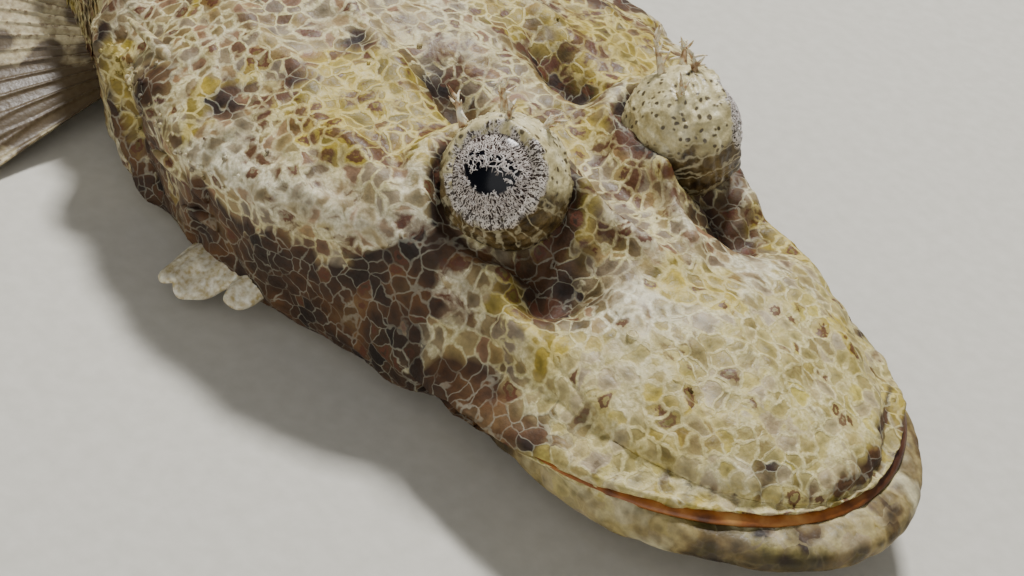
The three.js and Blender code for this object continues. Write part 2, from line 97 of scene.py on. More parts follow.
def curve_through(pairs):
    """Monotone cubic through (station, size) pairs, with level ends: no overshoot between them."""
    x, y = np.array(pairs, float).T
    slope = np.diff(y) / np.diff(x)
    with np.errstate(divide="ignore", invalid="ignore"):
        middle = 2 * slope[:-1] * slope[1:] / (slope[:-1] + slope[1:])
    tangent = np.r_[0, np.where(slope[:-1] * slope[1:] > 0, middle, 0), 0]

    def value(at):
        at = np.clip(at, x[0], x[-1])
        i = np.clip(np.searchsorted(x, at, side="right") - 1, 0, len(x) - 2)
        width = x[i + 1] - x[i]
        t = (at - x[i]) / width
        keep = 1 - t
        return (
            keep**2 * (1 + 2 * t) * y[i]
            + t**2 * (3 - 2 * t) * y[i + 1]
            + width * t * keep * (keep * tangent[i] - t * tangent[i + 1])
        )

    return value


back_line = curve_through([
    (-258, 31), (-210, 31.5), (-150, 38), (-90, 45), (-30, 49.5), (10, 48), (50, 44.5), (80, 41),
    (98, 38), (120, 34.5), (140, 31), (162, 27),
])
belly_line = curve_through([
    (-258, 12), (-210, 11), (-150, 6), (-105, 1), (-75, 0), (60, 0), (85, 1), (110, 3), (140, 8.5),
    (162, 13), (170, 15),
])
shoulder_half = curve_through([
    (-258, 7.5), (-210, 12.5), (-150, 20), (-90, 28.5), (-30, 36), (8, 39), (16, 45), (35, 48.5),
    (55, 49.5), (71, 47), (84, 42), (98, 32.5), (112.5, RIDGE_HALF),
])
shoulder_z = curve_through([
    (-258, 21.5), (-210, 21.5), (-150, 23), (-90, 26), (-30, 28.5), (8, 29), (55, 28), (71, 29),
    (84, 30.5), (98, 28), (112.5, 24.5), (135, 22.5), (162, 20.5),
])
edge_half = curve_through([
    (-258, 7.5), (-210, 12), (-150, 19.5), (-90, 27.5), (-30, 34.5), (8, 37), (16, 41.5), (35, 45),
    (55, 46), (71, 43.5), (84, 39.5), (98, 36.5), (112.5, LIP_HALF),
])
edge_z = curve_through([
    (-258, 18), (-210, 16.5), (-150, 14), (-90, 12), (-30, 10.5), (15, 10), (55, 10.5), (71, 11.5),
    (90, 12.5), (112.5, 15), (162, 19.8),
])
back_power = curve_through([(-258, 1), (0, 1), (40, 0.8), (100, 0.62), (162, 0.7)])


def mix(a, b, t):
    """From a where t is 0 to b where t is 1."""
    return a + (b - a) * t


def lines_of(*columns):
    """Columns of x, y and z, some of them plain numbers, as one array of points."""
    return np.stack(np.broadcast_arrays(*columns), -1)


def step(x, low, high):
    """0 below low, 1 above high, and an even slope between them with level ends."""
    t = np.clip((x - low) / (high - low), 0, 1)
    return t * t * (3 - 2 * t)


def span(x, start, full, fade, end):
    """1 from full to fade, sloping to 0 at start and at end."""
    return step(x, start, full) * (1 - step(x, fade, end))


def bell(distance, width):
    """1 at distance 0, falling as a bell to both sides."""
    return np.exp(-((distance / width) ** 2))


def waves(points, size, seed, octaves=3):
    """Smooth seeded noise: sums of sine waves of random direction, each octave half as long."""
    draw = np.random.default_rng(seed)
    total = np.zeros(len(points))
    for octave in range(octaves):
        ways = draw.normal(size=(10, 3))
        ways /= np.linalg.norm(ways, axis=1)[:, None]
        ways *= 2 * math.pi / size * 2**octave * draw.uniform(0.7, 1.35, (10, 1))
        phase = draw.uniform(0, 2 * math.pi, 10)
        total += np.sin(points @ ways.T + phase).sum(1) / 10 * 0.5**octave * 1.8
    return total


def relief(x, y):
    """Ridges and hollows of the skull: rims round the eyes, pits before and behind them, brow and
    cheek ridges, and two rows of ridges on the nape, each a bell about its own line."""
    side = np.abs(y)
    ring = np.hypot((x - EYE_X) / 1.08, side - EYE_Y)
    rim = 2.6 * bell(ring - 12.4, 2.2)
    between_eyes = -2.4 * bell(y, 5.5) * bell(x - 94, 17)
    front_pit = -8.5 * bell(np.hypot((x - 112.5) / 1.15, side - 18), 6.6)
    rear_pit = -6.5 * bell(np.hypot((x - 75.5) / 2.1, side - 11), 4.0)
    brow_line = 8.4 - 0.3 * np.maximum(x - 103, 0)
    brow = 3.0 * bell(side - brow_line, 1.6) * span(x, 84, 98, 114, 124)
    snout_hump = 1.6 * bell(y, 9) * bell(x - 137, 11)
    cheek = 1.8 * bell(side - 33, 2.6) * span(x, 66, 80, 92, 104)
    nape = 1.7 * bell(side - 15 - 0.05 * (x - 40), 2.6) * span(x, 14, 34, 62, 76)
    flank = 1.3 * bell(side - 31, 2.6) * span(x, 10, 30, 56, 70)
    snout_ridge = 0.9 * bell(side - 15 - 0.1 * (x - 130), 2.4) * span(x, 120, 128, 142, 152)
    total = rim + between_eyes + front_pit + rear_pit + brow + snout_hump
    return total + cheek + nape + flank + snout_ridge


def top_height(x, y):
    """Height of the top of the fish above the floor: an arch from shoulder to shoulder, plus relief."""
    tip = np.sqrt(np.clip(1 - ((np.maximum(x, FAN_X) - FAN_X) / (SNOUT_X - FAN_X)) ** 2, 1e-6, 1))
    rounding = np.sqrt(tip)
    half = shoulder_half(x) * tip
    low = mix(MOUTH_TIP_Z, shoulder_z(x), rounding)
    high = mix(MOUTH_TIP_Z, back_line(x), rounding)
    q = np.clip(np.abs(y) / half, 0, 1)
    arch = low + (high - low) * (1 - q**2) ** (back_power(x) - 0.2)
    return arch + relief(x, y) * (1 - step(q, 0.82, 1)) * rounding


TOP_STEPS, SIDE_STEPS, CLEFT_STEPS, JAW_STEPS, UNDER_STEPS = 62, 14, 12, 12, 14
LIP_ROLL = 0.7
CLEFT_DEPTH = 6.0
NECK_X = 26
end_turns = np.linspace(0.12, 1, 9, endpoint=False) * math.pi / 2
end_ribs = TAIL_END_X + (TAIL_BASE_X - TAIL_END_X) * (1 - np.cos(end_turns))
body_ribs = np.r_[end_ribs, np.linspace(TAIL_BASE_X, NECK_X, 130, endpoint=False)]
head_ribs = np.linspace(NECK_X, FAN_X, 158, endpoint=False)
fan_turns = np.linspace(0, math.pi / 2, 108)
rib_x = np.r_[body_ribs, head_ribs, np.full(len(fan_turns), FAN_X)][:, None]
rib_turn = np.r_[np.zeros(len(body_ribs) + len(head_ribs)), fan_turns][:, None]


def half_skin():
    """Left half of the skin as [rib, step, xyz]. The steps run from the middle of the back over the
    shoulder, down to the lip, into the mouth and out again, round the jaw and under the belly."""
    x, sin, cos = rib_x, np.sin(rib_turn), np.clip(np.cos(rib_turn), 0, 1)
    reach_x = x + (SNOUT_X - FAN_X) * sin
    start = lines_of(x + (FAN_END_X - FAN_X) * sin**1.2, 0)
    ridge = lines_of(reach_x, shoulder_half(x) * cos)
    edge = lines_of(reach_x, edge_half(x) * cos)
    jaw_half = CHIN_HALF * mix(0.82, 1, step(reach_x, 112, 150))
    jaw = lines_of(x + (CHIN_X - FAN_X) * sin, jaw_half * cos)
    belly = lines_of(x + (KEEL_END_X - FAN_X) * sin**1.2, 0)
    out = unit(edge - start)
    rounding = np.sqrt(cos)
    low = mix(MOUTH_TIP_Z, shoulder_z(reach_x), rounding)
    lip = mix(MOUTH_TIP_Z, edge_z(reach_x), rounding)

    across = np.sin(np.linspace(0, 1, TOP_STEPS + 1) * math.pi / 2)[None, :, None]
    plan = mix(start, ridge, across)
    top = np.dstack([plan, top_height(plan[..., 0], plan[..., 1])])

    t = (np.arange(1, SIDE_STEPS + 1) / SIDE_STEPS)[None, :]
    roll = LIP_ROLL * bell(t - 0.85, 0.2) * step(x, 96, 112)
    side = np.dstack([mix(ridge, edge, t[..., None]) + out * roll[..., None], mix(low, lip, t)])

    t = (np.arange(1, CLEFT_STEPS + 1) / CLEFT_STEPS)[None, :]
    inward = CLEFT_DEPTH * np.sin(t * math.pi) ** 0.7
    mouth_open = mix(1.2, 2.0, step(reach_x, 136, 156))
    drop = 1.1 * bell(t - 0.1, 0.1) + mouth_open * step(t, 0.4, 0.6)
    cleft = np.dstack([edge - out * inward[..., None], lip - drop])
    bend = (np.arange(1, JAW_STEPS + 1) / JAW_STEPS)[None, :] * math.pi / 2
    lip_out = mix(edge, jaw, (np.sin(bend) ** 0.75)[..., None])
    front = step(reach_x, 120, 156)
    jaw_z = mix(11, 15, front)
    rim = lip - mouth_open
    under_jaw = np.dstack([lip_out, mix(rim, jaw_z, 1 - np.clip(np.cos(bend), 0, 1) ** 0.8)])
    bend = (np.arange(1, UNDER_STEPS + 1) / UNDER_STEPS)[None, :] * math.pi / 2
    keel = mix(belly, jaw, (np.clip(np.cos(bend), 0, 1) ** mix(0.6, 0.85, front))[..., None])
    chin = np.dstack([keel, mix(jaw_z, belly_line(belly[..., 0]), np.sin(bend) ** mix(0.8, 0.95, front))])
    opened = np.concatenate([cleft, under_jaw, chin], 1)

    steps = CLEFT_STEPS + JAW_STEPS + UNDER_STEPS
    bend = (np.arange(1, steps + 1) / steps)[None, :] ** 1.25 * math.pi / 2
    plan = lines_of(x, edge_half(x) * np.clip(np.cos(bend), 0, 1) ** 0.72)
    closed = np.dstack([plan, mix(lip, belly_line(x), np.sin(bend) ** 0.72)])
    lower = mix(closed, opened, step(x, 99, 113)[..., None])
    half = np.concatenate([top, side, lower], 1)
    beyond = np.clip((TAIL_BASE_X - half[..., 0]) / (TAIL_BASE_X - TAIL_END_X), 0, 1)
    roundness = np.sqrt(1 - beyond**2)
    half[..., 1] *= roundness
    half[..., 2] = mix(TAIL_MIDDLE_Z, half[..., 2], 0.7 + 0.3 * roundness)
    return half


def half_normals(grid):
    """Unit normals of a half, from the cross product of its two tangents, level on the middle line."""
    along = np.gradient(grid, axis=0)
    across = np.gradient(grid, axis=1)
    normal = np.cross(across, along)
    normal[:, [0, -1], 1] = 0
    normal[-1, :, 1] = 0
    length = np.linalg.norm(normal, axis=-1, keepdims=True)
    return normal / np.maximum(length, 1e-9)


def gill_edge(z):
    """Where the rear edge of the gill cover lies at a height: it slants forwards towards the floor."""
    return 14 + 30 * np.clip((60 - z) / 62, 0, 1) ** 1.6


def live_surface(points, normals):
    """Moves the skin along its normals: soft lumps, finer wrinkles, the steps at the edges of the gill
    cover and the cheek. The lumps are low on the chin, and on the tail, where the scales take over."""
    x, y, z = points.T
    head = step(x, -10, 30)
    lumps = 0.5 * waves(points, 15, 3) + 0.24 * waves(points * [1, 1, 1.4], 5.5, 4)
    folds = 0.34 * (1 - np.abs(waves(points * [0.55, 1.25, 1], 9, 8, 2))) ** 3
    gill_x = gill_edge(z) + 0.5 * waves(points, 5, 9)
    gill = 2.1 * span(x, gill_x - 0.3, gill_x + 1.3, gill_x + 3, gill_x + 20)
    gill -= 1.0 * bell(x - gill_x + 2.2, 1.6)
    gill *= step(np.abs(y), 16, 26) * step(z, 3, 9)
    cheek_x = 57 + 0.3 * (z - 20) + 0.6 * waves(points, 6, 10)
    gill += span(x, cheek_x - 0.3, cheek_x + 1.5, cheek_x + 2, cheek_x + 14) * step(np.abs(y), 36, 42)
    above_floor = step(z, 0.6, 5)
    chin = step(x, 112, 130) * (1 - step(z, 15, 19))
    rough = mix(0.3, 1, head) * lumps + head * folds
    shift = rough * (1 - 0.6 * chin) * above_floor + gill - 0.35 * above_floor
    return points + normals * shift[:, None]


def both_halves(left):
    """Point numbers of the two halves as grids. The middle line and the tip of the snout are shared."""
    ribs, steps = left.shape[:2]
    here = np.arange(ribs * steps).reshape(ribs, steps)
    there = here + ribs * steps
    there[:, 0], there[:, -1], there[-1] = here[:, 0], here[:, -1], here[-1]
    return here, there


def quads(grid):
    """Faces between neighbours of a grid of point numbers."""
    return np.stack([grid[:-1, :-1], grid[1:, :-1], grid[1:, 1:], grid[:-1, 1:]], -1).reshape(-1, 4)


def repeated(faces, count, stride):
    """The faces of one mesh for a count of copies of it, whose points follow one another."""
    return (faces + np.arange(count)[:, None, None] * stride).reshape(-1, 4)


def make_piece(name, points, faces, skin, replaces=(), marks=None, patches=None):
    """Puts points in millimetres and faces into a mesh in metres. Unused points go, a face with a
    doubled corner becomes a triangle, and a shell whose signed volume is negative is turned round. A
    mark is one number or one direction for each point."""
    data = bpy.data.meshes.new(name)
    used, numbers = np.unique(faces, return_inverse=True)
    faces, points = numbers.reshape(faces.shape), points[used]
    a, b, c, d = (points[faces[:, corner]] for corner in range(4))
    if np.sum(a * (np.cross(b, c) + np.cross(c, d))) < 0:
        faces = faces[:, ::-1]
    rows = faces.tolist()
    for number in np.flatnonzero((faces == np.roll(faces, 1, 1)).any(1)):
        rows[number] = list(dict.fromkeys(rows[number]))
    data.from_pydata((points * MM).tolist(), [], rows)
    for mark, values in (marks or {}).items():
        kind, field = ("FLOAT_VECTOR", "vector") if np.ndim(values) == 2 else ("FLOAT", "value")
        attribute = data.attributes.new(mark, kind, "POINT")
        attribute.data.foreach_set(field, np.asarray(values, float)[used].ravel())
    if patches is not None:
        corners = np.zeros(len(data.loops), int)
        data.loops.foreach_get("vertex_index", corners)
        data.uv_layers.new(name="OFBake").data.foreach_set("uv", patches[used][corners].ravel())
    data.shade_smooth()
    data.materials.append(skin)
    piece = bpy.data.objects.new(name, data)
    bpy.context.collection.objects.link(piece)
    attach(piece, "root")
    if replaces:
        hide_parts(*replaces)


# Spots of tone on the head: the tone, its strength, how far along and to the side it lies, how far it
# is squeezed along, how frayed its rim is, and its half width.
HEAD_SPOTS = (
    ("umber", 1, 55, 41, 1, 2, 4.2), ("umber", 1, 40, 46, 1, 2, 3.6),
    ("umber", 0.8, 57, 18, 1, 3, 3), ("umber", 0.8, 60, 32, 1, 3, 3),
    ("olive", 2, 71, 26, 0.9, 3, 10.5), ("olive", 1, 79, 17, 1, 2, 5),
    ("olive", 1, 105, 12, 1, 3, 6), ("olive", 1, 88, 3, 1, 2, 6),
    ("olive", 0.55, 143, 20, 0.8, 3, 7.5), ("chalk", 1.1, 124.5, 13, 1.1, 3, 7),
    ("chalk", 0.6, 127, 2, 1, 2, 4.5), ("rust", 1, 137, 12, 1, 0, 3),
)
SADDLES_X = (-12, -78, -142, -206, -250)
MARKS = ("umber", "olive", "chalk", "straw", "rust", "jaw", "cream", "painted_shade")


def markings(points):
    """Where each tone of the coat lies, from 0 to 1: umber on the cheek, the jaw corner and the back's
    saddles, where the low cheek's band is partly the skin's own brown and partly painted shade of the
    head's underside, umber as painted shade round the foot of each eye and in the groove behind the
    gill cover, umber in the pits that is partly their own brown and partly painted shade, olive in
    patches, chalk on the ridges and between the pits, straw on the snout, rust in flecks on the upper
    head, the mottles of the jaw, plain cream below, and painted shade in the pits, round the foot of
    each eye and faintly over the middle of the head top."""
    x, y, z = points.T
    side = np.abs(y)
    blur = 0.5 * waves(points, 14, 21) + 0.35 * waves(points, 6, 22)
    umber, olive, chalk, rust = np.zeros((4, len(points)))
    spots = {"umber": umber, "olive": olive, "chalk": chalk, "rust": rust}
    for tone, strength, at_x, at_side, squeeze, fray, width in HEAD_SPOTS:
        spots[tone] += strength * bell(np.hypot((x - at_x) * squeeze, side - at_side) + fray * blur, width)

    # The low cheek band: partly the skin's own dark brown and partly painted shade on the underside of the
    # head.
    band_top = mix(23, 33, step(x, 84, 98)) - 6 * step(x, 102, 110)
    low_cheek = step(x, 22, 40) * (1 - step(x + 3 * blur, 99, 106)) * step(side, 24, 32)
    low_cheek *= (1 - step(z + 4 * blur, band_top - 2.5, band_top + 2.5)) * mix(0.55, 1, step(x, 50, 66))
    corner = bell(np.hypot((x - 115) * 0.8, (z - 14) * 1.4) + 2 * blur, 8) * step(side, 25, 31)
    upper_jaw = bell(z - edge_z(x) - 1 + blur, 3.4) * step(x, 106, 110) * (1 - step(x + 3 * blur, 126, 135))
    corner += 0.9 * upper_jaw * step(side, 20, 25)
    saddles = sum(bell(x - at_x + 5 * blur, 11) for at_x in SADDLES_X) * step(z, 16, 26)
    # The pits: their umber is partly their own dark brown and partly painted shade, and their chalk is
    # taken away.
    pits = bell(np.hypot(x - 112, side - 18) + 1.2 * blur, 7.2)
    pits += bell(np.hypot((x - 75.5) / 2, side - 11) + 1.2 * blur, 4.2)
    lip_front = 0.75 * bell(z - edge_z(x) - 2, 1.8) * step(x, 150, 155) * step(y + 4 * blur, -8, 0)
    lip_front += 0.5 * bell(np.hypot(x - 155, y + 11) + 2 * blur, 4) * step(z, 18, 20)
    ring = np.hypot(x - EYE_X, side - EYE_Y)
    bars = step(np.sin(1.5 * x + 1.1 * y + 2 * blur), 0.2, 0.9) * bell(z - edge_z(x) - 1.6, 1.3)
    mouth_z = edge_z(np.minimum(x, SNOUT_X))
    beyond_lip = np.hypot(np.maximum(x - FAN_X, 0) / (SNOUT_X - FAN_X), y / LIP_HALF)
    jaw = np.maximum(step(mouth_z - z, 1.4, 2.8), step(beyond_lip, 1.01, 1.04)) * step(x, 108, 118)
    umber += low_cheek + corner + 0.75 * saddles + 0.95 * pits + lip_front
    umber += 0.5 * step(blur, 0.62, 0.9) * step(z, 12, 18) * (1 - step(x, 100, 120))
    # Umber round the foot of each eye is painted shade; the bars along the upper lip are marks of the skin.
    umber += 0.9 * bell(ring - 10.5, 1.6) + 0.5 * bars * step(x, 128, 136)
    # Painted shade in the groove behind the rear edge of the gill cover.
    umber += 0.8 * bell(x - gill_edge(z) + 1.6, 1.4) * step(side, 16, 26) * step(z, 3, 9)
    umber += 0.7 * jaw * step(x, 142, 158) * step(blur, -0.1, 0.5)

    olive += 1.1 * bell(side - 25.5 + blur, 2.4) * span(x, 108, 112, 123, 128)
    olive += 0.75 * step(waves(points, 22, 23), 0.45, 0.75)

    brow_line = 8.4 - 0.3 * np.maximum(x - 103, 0)
    chalk += (0.22 + 0.28 * waves(points, 16, 25)) * span(x, 2, 16, 50, 84)
    chalk += 1.1 * bell(z - shoulder_z(x) - 2 + blur, 4.2) * span(x, 52, 66, 104, 116)
    chalk += 0.9 * bell(ring - 14.5 + blur, 2.2) * (1 - step(x, 98, 106)) * step(side, 8, 14)
    chalk += 0.9 * bell(side - brow_line, 1.5) * span(x, 96, 102, 116, 124)
    chalk += 0.8 * bell(np.hypot((x - 103) * 0.9, z - 16) + blur, 4.5) * step(side, 24, 30)
    between_eyes = step(x, 80, 88) * (1 - step(side, 9, 13))
    chalk += 0.45 * step(waves(points, 18, 24), 0.6, 0.85) * (1 - between_eyes)
    chalk *= 1 - 0.9 * np.clip(pits, 0, 1)
    chalk += 0.9 * bell(z - mouth_z + 2.2, 0.9) * step(x, 140, 152) * (1 - step(np.abs(y + 5), 8, 16))
    chalk += 0.9 * jaw * bell((x - 136) * 0.8 + 3 * blur, 8)

    rust += step(x, 30, 60) * (1 - 0.6 * step(x, 112, 124)) * step(z, 20, 28)
    straw = step(x + 4 * blur, 117, 130)
    cream = 1 - step(z + 0.8 * blur, 2.5, mix(6, 4.5, step(x, 0, 60)))
    # Painted shade: darker in the pits, round the foot of each eye and faintly over the middle of the head
    # top.
    painted_shade = pits + bell(ring - 10.3, 1.5)
    painted_shade += 0.25 * (1 - step(side, 14, 26)) * span(x, 15, 35, 110, 121)
    return dict(zip(MARKS, np.clip([umber, olive, chalk, straw, rust, jaw, cream, painted_shade], 0, 1)))


left = half_skin()
left_normals = half_normals(left)
here, there = both_halves(left)
flip = np.array([1, -1, 1])
skin_base = np.concatenate([left.reshape(-1, 3), left.reshape(-1, 3) * flip])
skin_normals = np.concatenate([left_normals.reshape(-1, 3), left_normals.reshape(-1, 3) * flip])
skin_points = live_surface(skin_base, skin_normals)
skin_faces = np.concatenate([quads(here)[:, ::-1], quads(there)])
tail_ring = np.r_[here[0], there[0, -2:0:-1]]
tail_end = len(skin_points)
skin_points = np.vstack([skin_points, skin_points[tail_ring].mean(0)])
tail_point = np.full(len(tail_ring), tail_end)
tail_cap = np.stack([tail_ring, np.roll(tail_ring, -1), tail_point, tail_point], -1)
skin_faces = np.vstack([skin_faces, tail_cap])


def linear(hexes):
    """One sRGB hex colour as linear red, green, blue and alpha."""
    value = np.array([int(hexes[i:i + 2], 16) for i in (1, 3, 5)]) / 255
    return (*np.where(value <= 0.04045, value / 12.92, ((value + 0.055) / 1.055) ** 2.4), 1.0)


def add(tree, kind, links=None, out=0, stops=None, **settings):
    """Adds a node with its settings and its colour stops, joins each named or numbered input to a
    socket or a value, and gives back the output that is asked for."""
    node = tree.nodes.new("ShaderNode" + kind)
    for name, value in settings.items():
        setattr(node, name, value)
    for key, source in (links or {}).items():
        if isinstance(source, bpy.types.NodeSocket):
            tree.links.new(source, node.inputs[key])
        else:
            node.inputs[key].default_value = source
    if stops:
        band = node.color_ramp.elements
        while len(band) < len(stops):
            band.new(0.5)
        for element, (place, tone) in zip(band, stops):
            element.position = place
            element.color = linear(tone)
    return node.outputs[out]


def start_material(name):
    """A new material, its tree, its shader, and the place of a point on its object."""
    material = bpy.data.materials.new(name)
    material.use_nodes = True
    tree = material.node_tree
    return material, tree, tree.nodes["Principled BSDF"], add(tree, "TexCoord", out="Object")


def moved(tree, place, noise, depth):
    """A place moved by the colour of a noise, times a depth."""
    shift = add(tree, "VectorMath", {0: noise.node.outputs["Color"], "Scale": depth}, operation="SCALE")
    return add(tree, "VectorMath", {0: place, 1: shift}, operation="ADD")


# Live flathead skin: thin, slightly moist and smooth, so it shines softly on its ridges. Rounded cells
# about 3 mm wide, grey-tan, olive, pinkish or brown and darker in the middle, are parted by a wavy net
# of thin lines, cream on tan, golden on olive and broader and whiter on the ridges. The net's waves
# are given as size, detail and depth.
NET_CELL = 2.8 * MM
NET_WAVES = ((2.4 * MM, 0.0, 1.7 * MM), (0.9 * MM, 1.0, 0.55 * MM), (13 * MM, 1.0, 5.0 * MM))
FLECK_SIZE, BROKEN_SIZE, CLOUD_SIZE, GRIT_SIZE = 6.5 * MM, 4.5 * MM, 11 * MM, 0.6 * MM


def flathead_skin(name, net_strength, roughness):
    """The coat of one kind of skin, with its tones where the marks of the mesh say."""
    material, tree, shader, place = start_material(name)
    warped = place
    for size, detail, depth in NET_WAVES:
        wave = add(tree, "TexNoise", {"Vector": place, "Scale": 1 / size, "Detail": detail})
        warped = moved(tree, warped, wave, depth)

    voronoi = {"Vector": warped, "Scale": 1 / NET_CELL, "Randomness": 0.85}
    border = add(tree, "TexVoronoi", voronoi, feature="DISTANCE_TO_EDGE")
    middle = add(tree, "TexVoronoi", voronoi, feature="F1")
    chance = add(tree, "SeparateColor", {0: middle.node.outputs["Color"]}).node.outputs
    grit = add(tree, "TexNoise", {"Vector": place, "Scale": 1 / GRIT_SIZE, "Detail": 4.0})
    cloud = add(tree, "TexNoise", {"Vector": place, "Scale": 1 / CLOUD_SIZE, "Detail": 3.0})
    umber, olive, chalk, straw, rust, jaw, cream, painted_shade = (
        add(tree, "Attribute", out="Fac", attribute_name=mark) for mark in MARKS
    )

    # One tone for each cell, by chance. Olive and umber take in whole cells at their rims.
    plain = add(tree, "ValToRGB", {0: chance[0]}, stops=[
        (0.0, "#58462D"), (0.2, "#857040"), (0.42, "#7A6C5A"), (0.6, "#907C48"), (0.78, "#886648"),
        (0.9, "#553A27"), (1.0, "#A59362"),
    ])
    mossy = add(tree, "ValToRGB", {0: chance[1]}, stops=[
        (0.0, "#6A5C22"), (0.3, "#978228"), (0.55, "#7F6F30"), (0.8, "#AE983A"), (1.0, "#664822"),
    ])
    brown = add(tree, "ValToRGB", {0: chance[2]}, stops=[
        (0.0, "#1A120B"), (0.3, "#3A2616"), (0.55, "#5A3D22"), (0.75, "#2A1C11"), (1.0, "#70502F"),
    ])
    deep_brown = add(tree, "ValToRGB", {0: cloud}, stops=[
        (0.36, "#160F0A"), (0.47, "#35241A"), (0.56, "#57391F"), (0.66, "#6E5636"),
    ])
    brown = add(tree, "Mix", {0: 0.55, 6: brown, 7: deep_brown}, 2, data_type="RGBA")
    strawy = add(tree, "ValToRGB", {0: chance[1]}, stops=[
        (0.0, "#94864F"), (0.25, "#BCAD6A"), (0.5, "#A8997C"), (0.75, "#BEAE52"), (1.0, "#8E7E54"),
    ])
    pale = add(tree, "ValToRGB", {0: chance[0]}, stops=[
        (0.0, "#B2A484"), (0.35, "#D0C7A4"), (0.7, "#AB9B86"), (1.0, "#A59974"),
    ])
    chin = add(tree, "ValToRGB", {0: cloud}, stops=[
        (0.38, "#2A2014"), (0.45, "#5A4728"), (0.5, "#8F7E52"), (0.55, "#6B5B3A"), (0.64, "#B8AF8C"),
    ])
    straw_share = add(tree, "Math", {0: straw, 1: 0.8}, operation="MULTIPLY")
    chalk_share = add(tree, "Math", {0: chalk, 1: 0.3}, operation="MULTIPLY")
    olive_share = add(tree, "Math", {0: chance[2], 1: 0.5, 2: olive}, operation="MULTIPLY_ADD")
    olive_share = add(tree, "MapRange", {0: olive_share, 1: 0.55, 2: 0.85, 3: 0.0, 4: 0.9})
    dark = add(tree, "Math", {0: chance[1], 1: 0.5, 2: umber}, operation="MULTIPLY_ADD")
    dark = add(tree, "MapRange", {0: dark, 1: 0.42, 2: 0.95})
    chin_share = add(tree, "Math", {0: chalk, 1: -0.6, 2: 0.92}, operation="MULTIPLY_ADD")
    chin_share = add(tree, "Math", {0: jaw, 1: chin_share}, operation="MULTIPLY")
    tone = plain
    for share, cover in (
        (straw_share, strawy), (chalk_share, pale), (olive_share, mossy), (dark, brown), (chin_share, chin),
    ):
        tone = add(tree, "Mix", {0: share, 6: tone, 7: cover}, 2, data_type="RGBA")

    # A cell is darker in its middle, shade is painted into the pits, round the foot of each eye and
    # faintly over the middle of the head top, and one cell in seven has a rust ring.
    # Rust flecks with ragged rims lie over several cells.
    dome = add(tree, "MapRange", {0: middle, 1: 0.05, 2: 0.5, 3: 0.64, 4: 1.18})
    tone = add(tree, "Mix", {0: 1.0, 6: tone, 7: dome}, 2, data_type="RGBA", blend_type="MULTIPLY")
    shade = add(tree, "Math", {0: painted_shade, 1: -0.28, 2: 1.0}, operation="MULTIPLY_ADD")
    tone = add(tree, "Mix", {0: 1.0, 6: tone, 7: shade}, 2, data_type="RGBA", blend_type="MULTIPLY")
    ragged = {"Vector": warped, "Scale": 1 / FLECK_SIZE, "Detail": 5.0, "Roughness": 0.62}
    fleck = add(tree, "TexNoise", ragged)
    fleck = add(tree, "MapRange", {0: fleck, 1: 0.555, 2: 0.6, 3: 0.0, 4: 0.85})
    fleck = add(tree, "Math", {0: fleck, 1: rust}, operation="MULTIPLY")
    tone = add(tree, "Mix", {0: fleck, 6: tone, 7: linear("#53301B")}, 2, data_type="RGBA")
    ring = add(tree, "Math", {0: grit, 1: 0.5, 2: middle}, operation="MULTIPLY_ADD")
    ring = add(tree, "Math", {0: ring, 1: 0.56}, operation="SUBTRACT")
    ring = add(tree, "Math", {0: ring}, operation="ABSOLUTE")
    ring = add(tree, "MapRange", {0: ring, 1: 0.07, 2: 0.13, 3: 0.85, 4: 0.0})
    rare = add(tree, "Math", {0: chance[2], 1: jaw}, operation="SUBTRACT")
    rare = add(tree, "MapRange", {0: rare, 1: 0.84, 2: 0.87})
    ring = add(tree, "Math", {0: ring, 1: rare}, operation="MULTIPLY")
    tone = add(tree, "Mix", {0: ring, 6: tone, 7: linear("#5A3220")}, 2, data_type="RGBA")

    # The net: its width follows the clouds, more on chalky skin and less on brown. It fades in
    # places, on the flecks and on the jaw.
    width = add(tree, "MapRange", {0: cloud, 1: 0.35, 2: 0.62, 3: 0.07, 4: 0.12})
    width = add(tree, "Math", {0: chalk, 1: 0.08, 2: width}, operation="MULTIPLY_ADD")
    thin = add(tree, "Math", {0: dark, 1: -0.6, 2: 1.0}, operation="MULTIPLY_ADD")
    width = add(tree, "Math", {0: width, 1: thin}, operation="MULTIPLY")
    inner = add(tree, "Math", {0: width, 1: 0.5}, operation="MULTIPLY")
    outer = add(tree, "Math", {0: width, 1: 1.4}, operation="MULTIPLY")
    line = add(tree, "MapRange", {0: border, 1: inner, 2: outer, 3: 1.0, 4: 0.0})
    broken = add(tree, "TexNoise", {"Vector": place, "Scale": 1 / BROKEN_SIZE, "Detail": 2.0})
    broken = add(tree, "MapRange", {0: broken, 1: 0.36, 2: 0.56, 3: 0.32, 4: 0.92})
    strength = add(tree, "Math", {0: jaw, 1: -0.94, 2: net_strength}, operation="MULTIPLY_ADD")
    strength = add(tree, "Math", {0: strength, 1: broken}, operation="MULTIPLY")
    for cover in (fleck, dark):
        hidden = add(tree, "Math", {0: cover, 1: -0.55, 2: 1.0}, operation="MULTIPLY_ADD")
        strength = add(tree, "Math", {0: strength, 1: hidden}, operation="MULTIPLY")
    lines = add(tree, "Math", {0: line, 1: strength}, operation="MULTIPLY")
    net_tone, white = (
        add(tree, "ValToRGB", {0: grit}, stops=list(zip((0.25, 0.5, 0.75), tones)))
        for tones in (("#B3A468", "#CDC088", "#E0D6A6"), ("#C6BE9B", "#E0D8B8", "#F0EBD4"))
    )
    for share, cover in ((chalk, white), (olive, linear("#CBB86C")), (dark, linear("#A8A692"))):
        net_tone = add(tree, "Mix", {0: share, 6: net_tone, 7: cover}, 2, data_type="RGBA")
